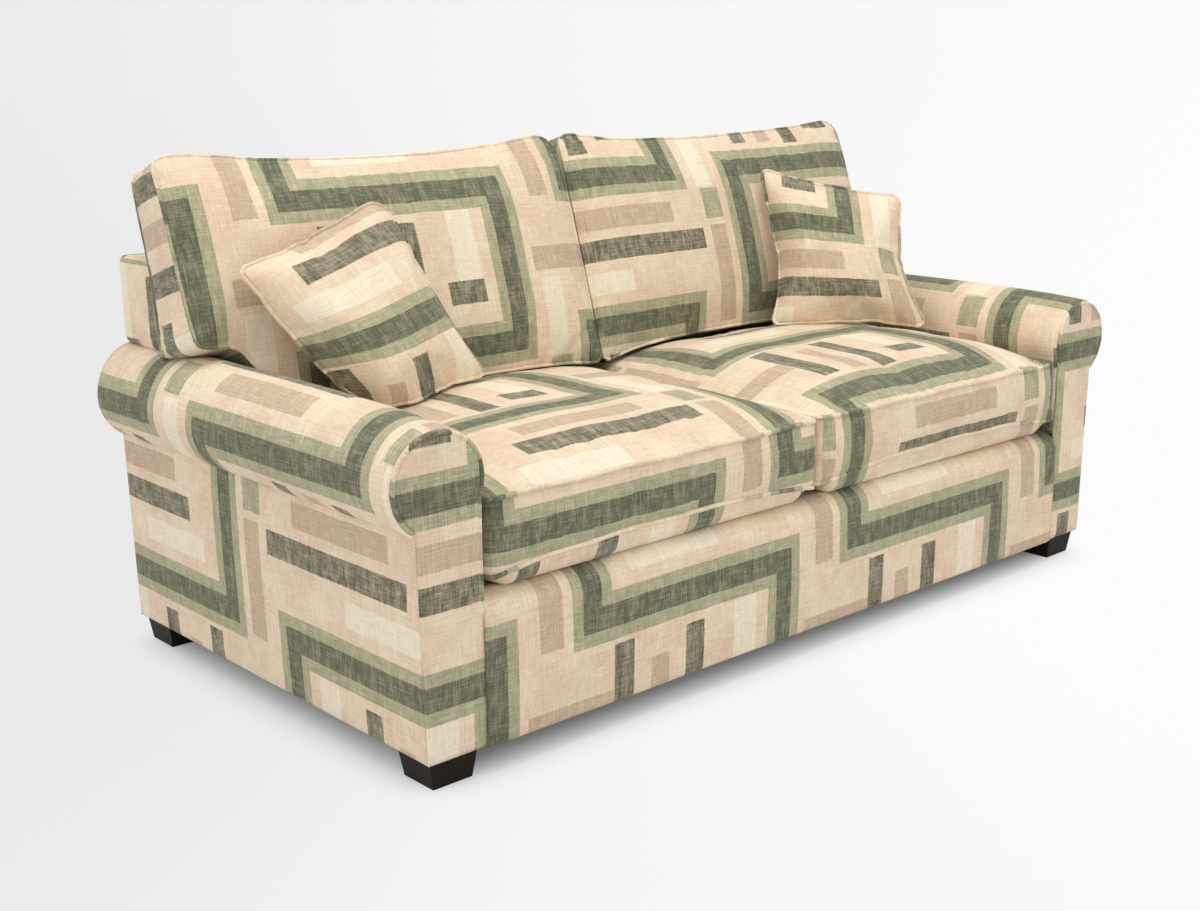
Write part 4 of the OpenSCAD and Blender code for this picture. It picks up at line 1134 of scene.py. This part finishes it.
def scatter_blank(side):
    """A flat pillow, to be swollen, with its front and rear sewn at the rim."""
    u, v = np.meshgrid(np.linspace(-1, 1, 52), np.linspace(-1, 1, 52))
    start = SCATTER_START * np.clip((1 - np.abs(u)) * 9, 0, 1) * np.clip((1 - np.abs(v)) * 9, 0, 1)
    x, y = round_plan(u, v, SCATTER_HALF, SCATTER_HALF, SCATTER_CORNER)
    skin = Skin(1, SCATTER_PRINT[side])
    front_index = skin.add(uneven(stack(x, y, start), size=0.0012, scale=16.0, seed=71.0 + side))
    rear_index = front_index.copy()
    rear_index[1:-1, 1:-1] = skin.add(stack(x, y, -start))[1:-1, 1:-1]
    cloth = stack(u, v) * SCATTER_HALF
    skin.quads(front_index, cloth)
    skin.quads(rear_index, cloth * (-1, 1), flip=True)
    obj = skin.build("scatter_cushion_" + NAME[side], merge=False)
    shape = bmesh.new()
    shape.from_mesh(obj.data)
    unused = [vert for vert in shape.verts if not vert.link_faces]
    bmesh.ops.delete(shape, geom=unused, context="VERTS")
    shape.to_mesh(obj.data)
    shape.free()
    return obj, front_index


def bow_shares(name, peak, s, t):
    """Strength of a side's bow over the pillow, for s across and t up, from 0 to 1."""
    along, toward = {"left": (t, 1 - s), "right": (t, s), "bottom": (s, 1 - t), "top": (s, t)}[name]
    rise = np.clip(along / peak, 0, None) ** (3 * peak)
    fall = np.clip((1 - along) / (1 - peak), 0, None) ** (3 * (1 - peak))
    return (rise * fall * np.clip(toward, 0, 1))[:, None]


def pose_scatter(obj, front_index, blank_places, side):
    """Lays the swollen pillow over its four corners, and bows its sides."""
    places = vertex_places(obj.data)
    places[:, :2] = blank_places[:, :2] + (places - blank_places)[:, :2] * SCATTER_SPREAD
    ends = front_index[[-1, -1, 0, 0], [0, -1, -1, 0]]
    half = np.abs(places[ends, :2]).mean() + SCATTER_EASE
    u, v, thick = (places / (half, half, 1)).T[..., None]
    tl, tr, br, bl = (np.array(corner) for corner in SCATTER_CORNERS[side])
    base = ((bl * (1 - u) + br * (1 + u)) * (1 - v) + (tl * (1 - u) + tr * (1 + u)) * (1 + v)) / 4
    across = (tr - tl) / np.linalg.norm(tr - tl)
    upward = (tl - bl) / np.linalg.norm(tl - bl)
    for name, peak, (wide, high, ahead) in SCATTER_BOWS[side]:
        share = bow_shares(name, peak, (u[:, 0] + 1) / 2, (v[:, 0] + 1) / 2)
        base += share * (across * wide + upward * high + np.array([0, -ahead, 0]))
    normal = np.cross(tr - tl + br - bl, tl - bl + tr - br)
    normal /= np.linalg.norm(normal)
    full = np.abs(thick) / np.where(thick > 0, thick.max(), -thick.min())
    base += normal * np.where(thick > 0, SCATTER_FRONT * full**0.85, -SCATTER_REAR[side] * full)
    obj.data.vertices.foreach_set("co", base.ravel())
    obj.data.update()
    return base


ZIP_MARGIN = 0.0004
RECESS_DEPTH = 0.03


def cut_zip(obj, zip_node):
    """Cuts the recess of a zip into a cushion, round the CAD zip."""
    low, high = span(zip_node)
    low -= ZIP_MARGIN
    high += ZIP_MARGIN
    if zip_node.startswith("seat"):
        high[1] += RECESS_DEPTH
    else:
        low[2] -= RECESS_DEPTH
    mesh = box_mesh(obj.name + "_recess", low, high)
    mesh.uv_layers.new(name="cloth")
    cutter = new_object(mesh.name, mesh)
    cut = add_modifier(obj, "BOOLEAN", operation="DIFFERENCE", object=cutter, solver="EXACT")
    graph = bpy.context.evaluated_depsgraph_get()
    result = bpy.data.meshes.new_from_object(obj.evaluated_get(graph))
    obj.modifiers.remove(cut)
    obj.data = result
    bpy.data.objects.remove(cutter)
    bpy.data.meshes.remove(mesh)


BOX_PRESSURE = 3.0
PILLOW_PRESSURE = 7.0
PILLOW_CAP = 0.2
# Maker, excess of cloth, fill, node that it stands for, cloth, and the cords' radius and noise
CUSHIONS = {
    "seat": (seat_cushion, 0.012, 0.9, "seat_cover_", SEAT_PRINT, 0.0044, 30.0, 51.0),
    "back": (back_cushion, 0.010, 0.85, "back_cushion_cover_", BACK_PRINT, 0.0035, 26.0, 61.0),
}


def finish_cushion(side, kind, obj, seams):
    """Cuts the zip's recess into a swollen box cushion, dresses it and adds its cords."""
    _, _, fill, node, cut_from, *cord_values = CUSHIONS[kind]
    body = "%s_%s" % (kind, NAME[side])
    cut_zip(obj, "%s_zip_%s" % (kind, NAME[side]))
    cover(obj, fill, body, node + NAME[side])
    for cord in seam_cords(kind, side, seams, *cord_values, cut_from[side]):
        dress(cord, body)


def finish_scatter(side, obj, front_index, blank_places):
    """Poses a swollen scatter cushion, dresses it and adds its cord."""
    body = "scatter_" + NAME[side]
    placed = pose_scatter(obj, front_index, blank_places, side)
    cover(obj, 0.75, body, "scatter_cover_" + NAME[side])
    rim = rim_of(front_index)
    dress(tube("scatter_cord_" + NAME[side], placed[rim], 0.0040, closed=True,
               print_line=blank_places[rim, :2], shift=SCATTER_PRINT[side]), body)


FOOT_TAPER = 0.007


def foot_block(node):
    """A tapered block foot with eased edges."""
    mesh = box_mesh(node.replace("foot_", "foot_block_"), *span(node), taper=FOOT_TAPER)
    obj = new_object(mesh.name, mesh)
    add_modifier(obj, "BEVEL", width=0.0018, segments=3, limit_method="ANGLE")
    mesh.shade_smooth()
    mesh.set_sharp_from_angle(angle=math.radians(60))
    dress(obj, "frame", node, slot="espresso_wood")


# Stage

# Turn from the sofa's depth, tilt down and roll, in radians
CAMERA_TURN = (0.73335, 0.24809, -0.00879)
CAMERA_PLACE = (-2.2543, -2.3646, 1.1307)
CAMERA_RIGHT = (0.743, -0.669, 0.0)
FLOOR_HALF = 45
FLOOR_ALBEDO = 0.86
# The floor shows its shadow round the sofa: how far within the sofa's edges it starts to fade to
# the paper, over what distance, and the paper's share where it starts
SHADOW_IN = 0.09
SHADOW_OUT = 0.165
SHADOW_LIFT = 0.10
WORLD_LEVEL = 0.66
# Name, place, size, power and colour of each lamp, and what it points at
LAMPS = [
    ("top_light", (-0.6, -0.6, 4.2), (4.0, 3.0), 98, (1.0, 0.98, 0.95), (0.0, 0.0, 0.4)),
    ("front_light", (0.6, -4.6, 2.8), (3.5, 2.5), 32, (1.0, 0.985, 0.96), (0.0, 0.0, 0.4)),
    ("side_light", (-5.0, 0.2, 1.7), (2.5, 2.0), 37, (1.0, 0.985, 0.96), (-0.9, 0.0, 0.4)),
]


def place_camera():
    """The camera that took the photograph, solved from the hem, feet and facings."""
    yaw, pitch, roll = CAMERA_TURN
    camera = new_object("camera", bpy.data.cameras.new("camera"))
    assign(camera.data, lens=47.70, sensor_width=36, sensor_fit="HORIZONTAL", clip_end=60)
    aimed = Matrix.Rotation(-yaw, 4, "Z") @ Matrix.Rotation(math.pi / 2 - pitch, 4, "X")
    camera.matrix_world = Matrix.Translation(CAMERA_PLACE) @ aimed @ Matrix.Rotation(roll, 4, "Z")
    bpy.context.scene.camera = camera


def paper_grey_with_shade(g, aside):
    """The background's paper colour, with painted shade that makes it a little darker at the left."""
    left = g.between(aside, -0.42, 0.05, 0.822, 0.925, smooth=True)
    right = g.between(aside, 0.05, 0.40, 0.0, 0.035, smooth=True)
    return g.add(left, right)


def show_paper(g, output, lit, paper, fade=1.0):
    """Shows the paper itself to camera, glossy and transmission rays, and what is lit to others."""
    rays = g.node("LightPath")
    seen = g.math("MAXIMUM", rays["Is Camera Ray"], rays["Is Glossy Ray"])
    seen = g.math("MAXIMUM", seen, rays["Is Transmission Ray"])
    mixed = g.node("MixShader", (g.times(seen, fade), lit, paper))[0]
    g.plug(g.tree.nodes[output].inputs["Surface"], mixed)


def paper_floor():
    """A pale floor without a horizon."""
    g = new_graph("studio_paper")
    place = g.object_place()
    away = g.add(g.vector("LENGTH", place), 1.2)
    # The floor's colour carries painted shade that darkens the paper a little at the left
    paper_tone_and_shade = paper_grey_with_shade(g, g.math("DIVIDE", g.vector("DOT_PRODUCT", place, CAMERA_RIGHT), away))
    g.finish(g.times(paper_tone_and_shade, FLOOR_ALBEDO), 0.95, Specular_IOR_Level=0.0)
    core = (HALF_W - SHADOW_IN, REAR_Y - SHADOW_IN, 0.0)
    off = g.vector("SUBTRACT", g.vector("ABSOLUTE", place), core)
    off = g.vector("LENGTH", g.vector("MAXIMUM", off, (0.0, 0.0, 0.0)))
    fade = g.between(off, 0.0, SHADOW_OUT, SHADOW_LIFT, 1.0, smooth=True)
    lit = g.tree.nodes["Principled BSDF"].outputs[0]
    show_paper(g, "Material Output", lit, g.node("Emission", {"Color": paper_tone_and_shade})[0], fade)
    widths = np.linspace(-FLOOR_HALF, FLOOR_HALF, 31)
    grid = stack(widths, widths[:, None], 0.0)
    floor = sheet("studio", grid, grid[..., :2], 0)
    floor.data.materials.append(g.owner)
    floor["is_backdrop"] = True


def light_studio():
    """Soft light mainly from above."""
    world = bpy.data.worlds.new("studio_world")
    bpy.context.scene.world = world
    g = Graph(world)
    sky = g.tree.nodes["Background"]
    sky.inputs["Color"].default_value = (1.0, 0.995, 0.985, 1)
    sky.inputs["Strength"].default_value = WORLD_LEVEL
    aside = g.vector("DOT_PRODUCT", g.node("TexCoord")["Generated"], CAMERA_RIGHT)
    # The world's backdrop carries the same painted shade, a little darker at the left
    paper = g.node("Background", {"Color": paper_grey_with_shade(g, aside)})[0]
    show_paper(g, "World Output", sky.outputs[0], paper)
    for name, place, size, power, color, aim in LAMPS:
        lamp = new_object(name, bpy.data.lights.new(name, "AREA"))
        assign(lamp.data, shape="RECTANGLE", size=size[0], size_y=size[1], energy=power, color=color)
        lamp.location = place
        lamp.rotation_euler = (Vector(aim) - Vector(place)).to_track_quat("-Z", "Y").to_euler()


place_camera()
paper_floor()
light_studio()

# Assembly

dress_frame()
for side, word in NAME.items():
    cover(arm_wrap(side), 0.9, "frame", "arm_cover_" + word)
    cover(facing_panel(side), 0.95, "frame", "facing_cover_" + word)
    dress(facing_cord(side), "frame", "facing_piping_" + word)
    cover(side_panel(side), 0.95, "frame", "outside_arm_" + word)
    for end in ("front", "rear"):
        foot_block("foot_%s_%s" % (end, word))
cover(front_panel(), 0.95, "frame", "front_cover")
dress(deck_border(), "frame", slot="platform_cloth")
cover(back_top(), 0.9, "frame", "back_cover")
cover(back_inner(), 0.9, "frame")
cover(rear_panel(), 0.95, "frame", "outside_back")

stuffed = []
pending = []
for side, word in NAME.items():
    for kind, (make, excess, *_) in CUSHIONS.items():
        obj, held, caps, seams = make(side)
        stuffed.append((obj, held, caps, BOX_PRESSURE, excess))
        pending.append((finish_cushion, side, kind, obj, seams))
    obj, front_index = scatter_blank(side)
    blank_places = vertex_places(obj.data)
    count = len(blank_places)
    stuffed.append((obj, np.zeros(count), np.full(count, PILLOW_CAP), PILLOW_PRESSURE, 0.0))
    pending.append((finish_scatter, side, obj, front_index, blank_places))
swell(stuffed)
for finish, *values in pending:
    finish(*values)

bpy.context.scene.view_settings.view_transform = "Standard"

lists = [[[float(v) for v in corner] for corner in box] for box in (cad_bounds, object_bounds())]
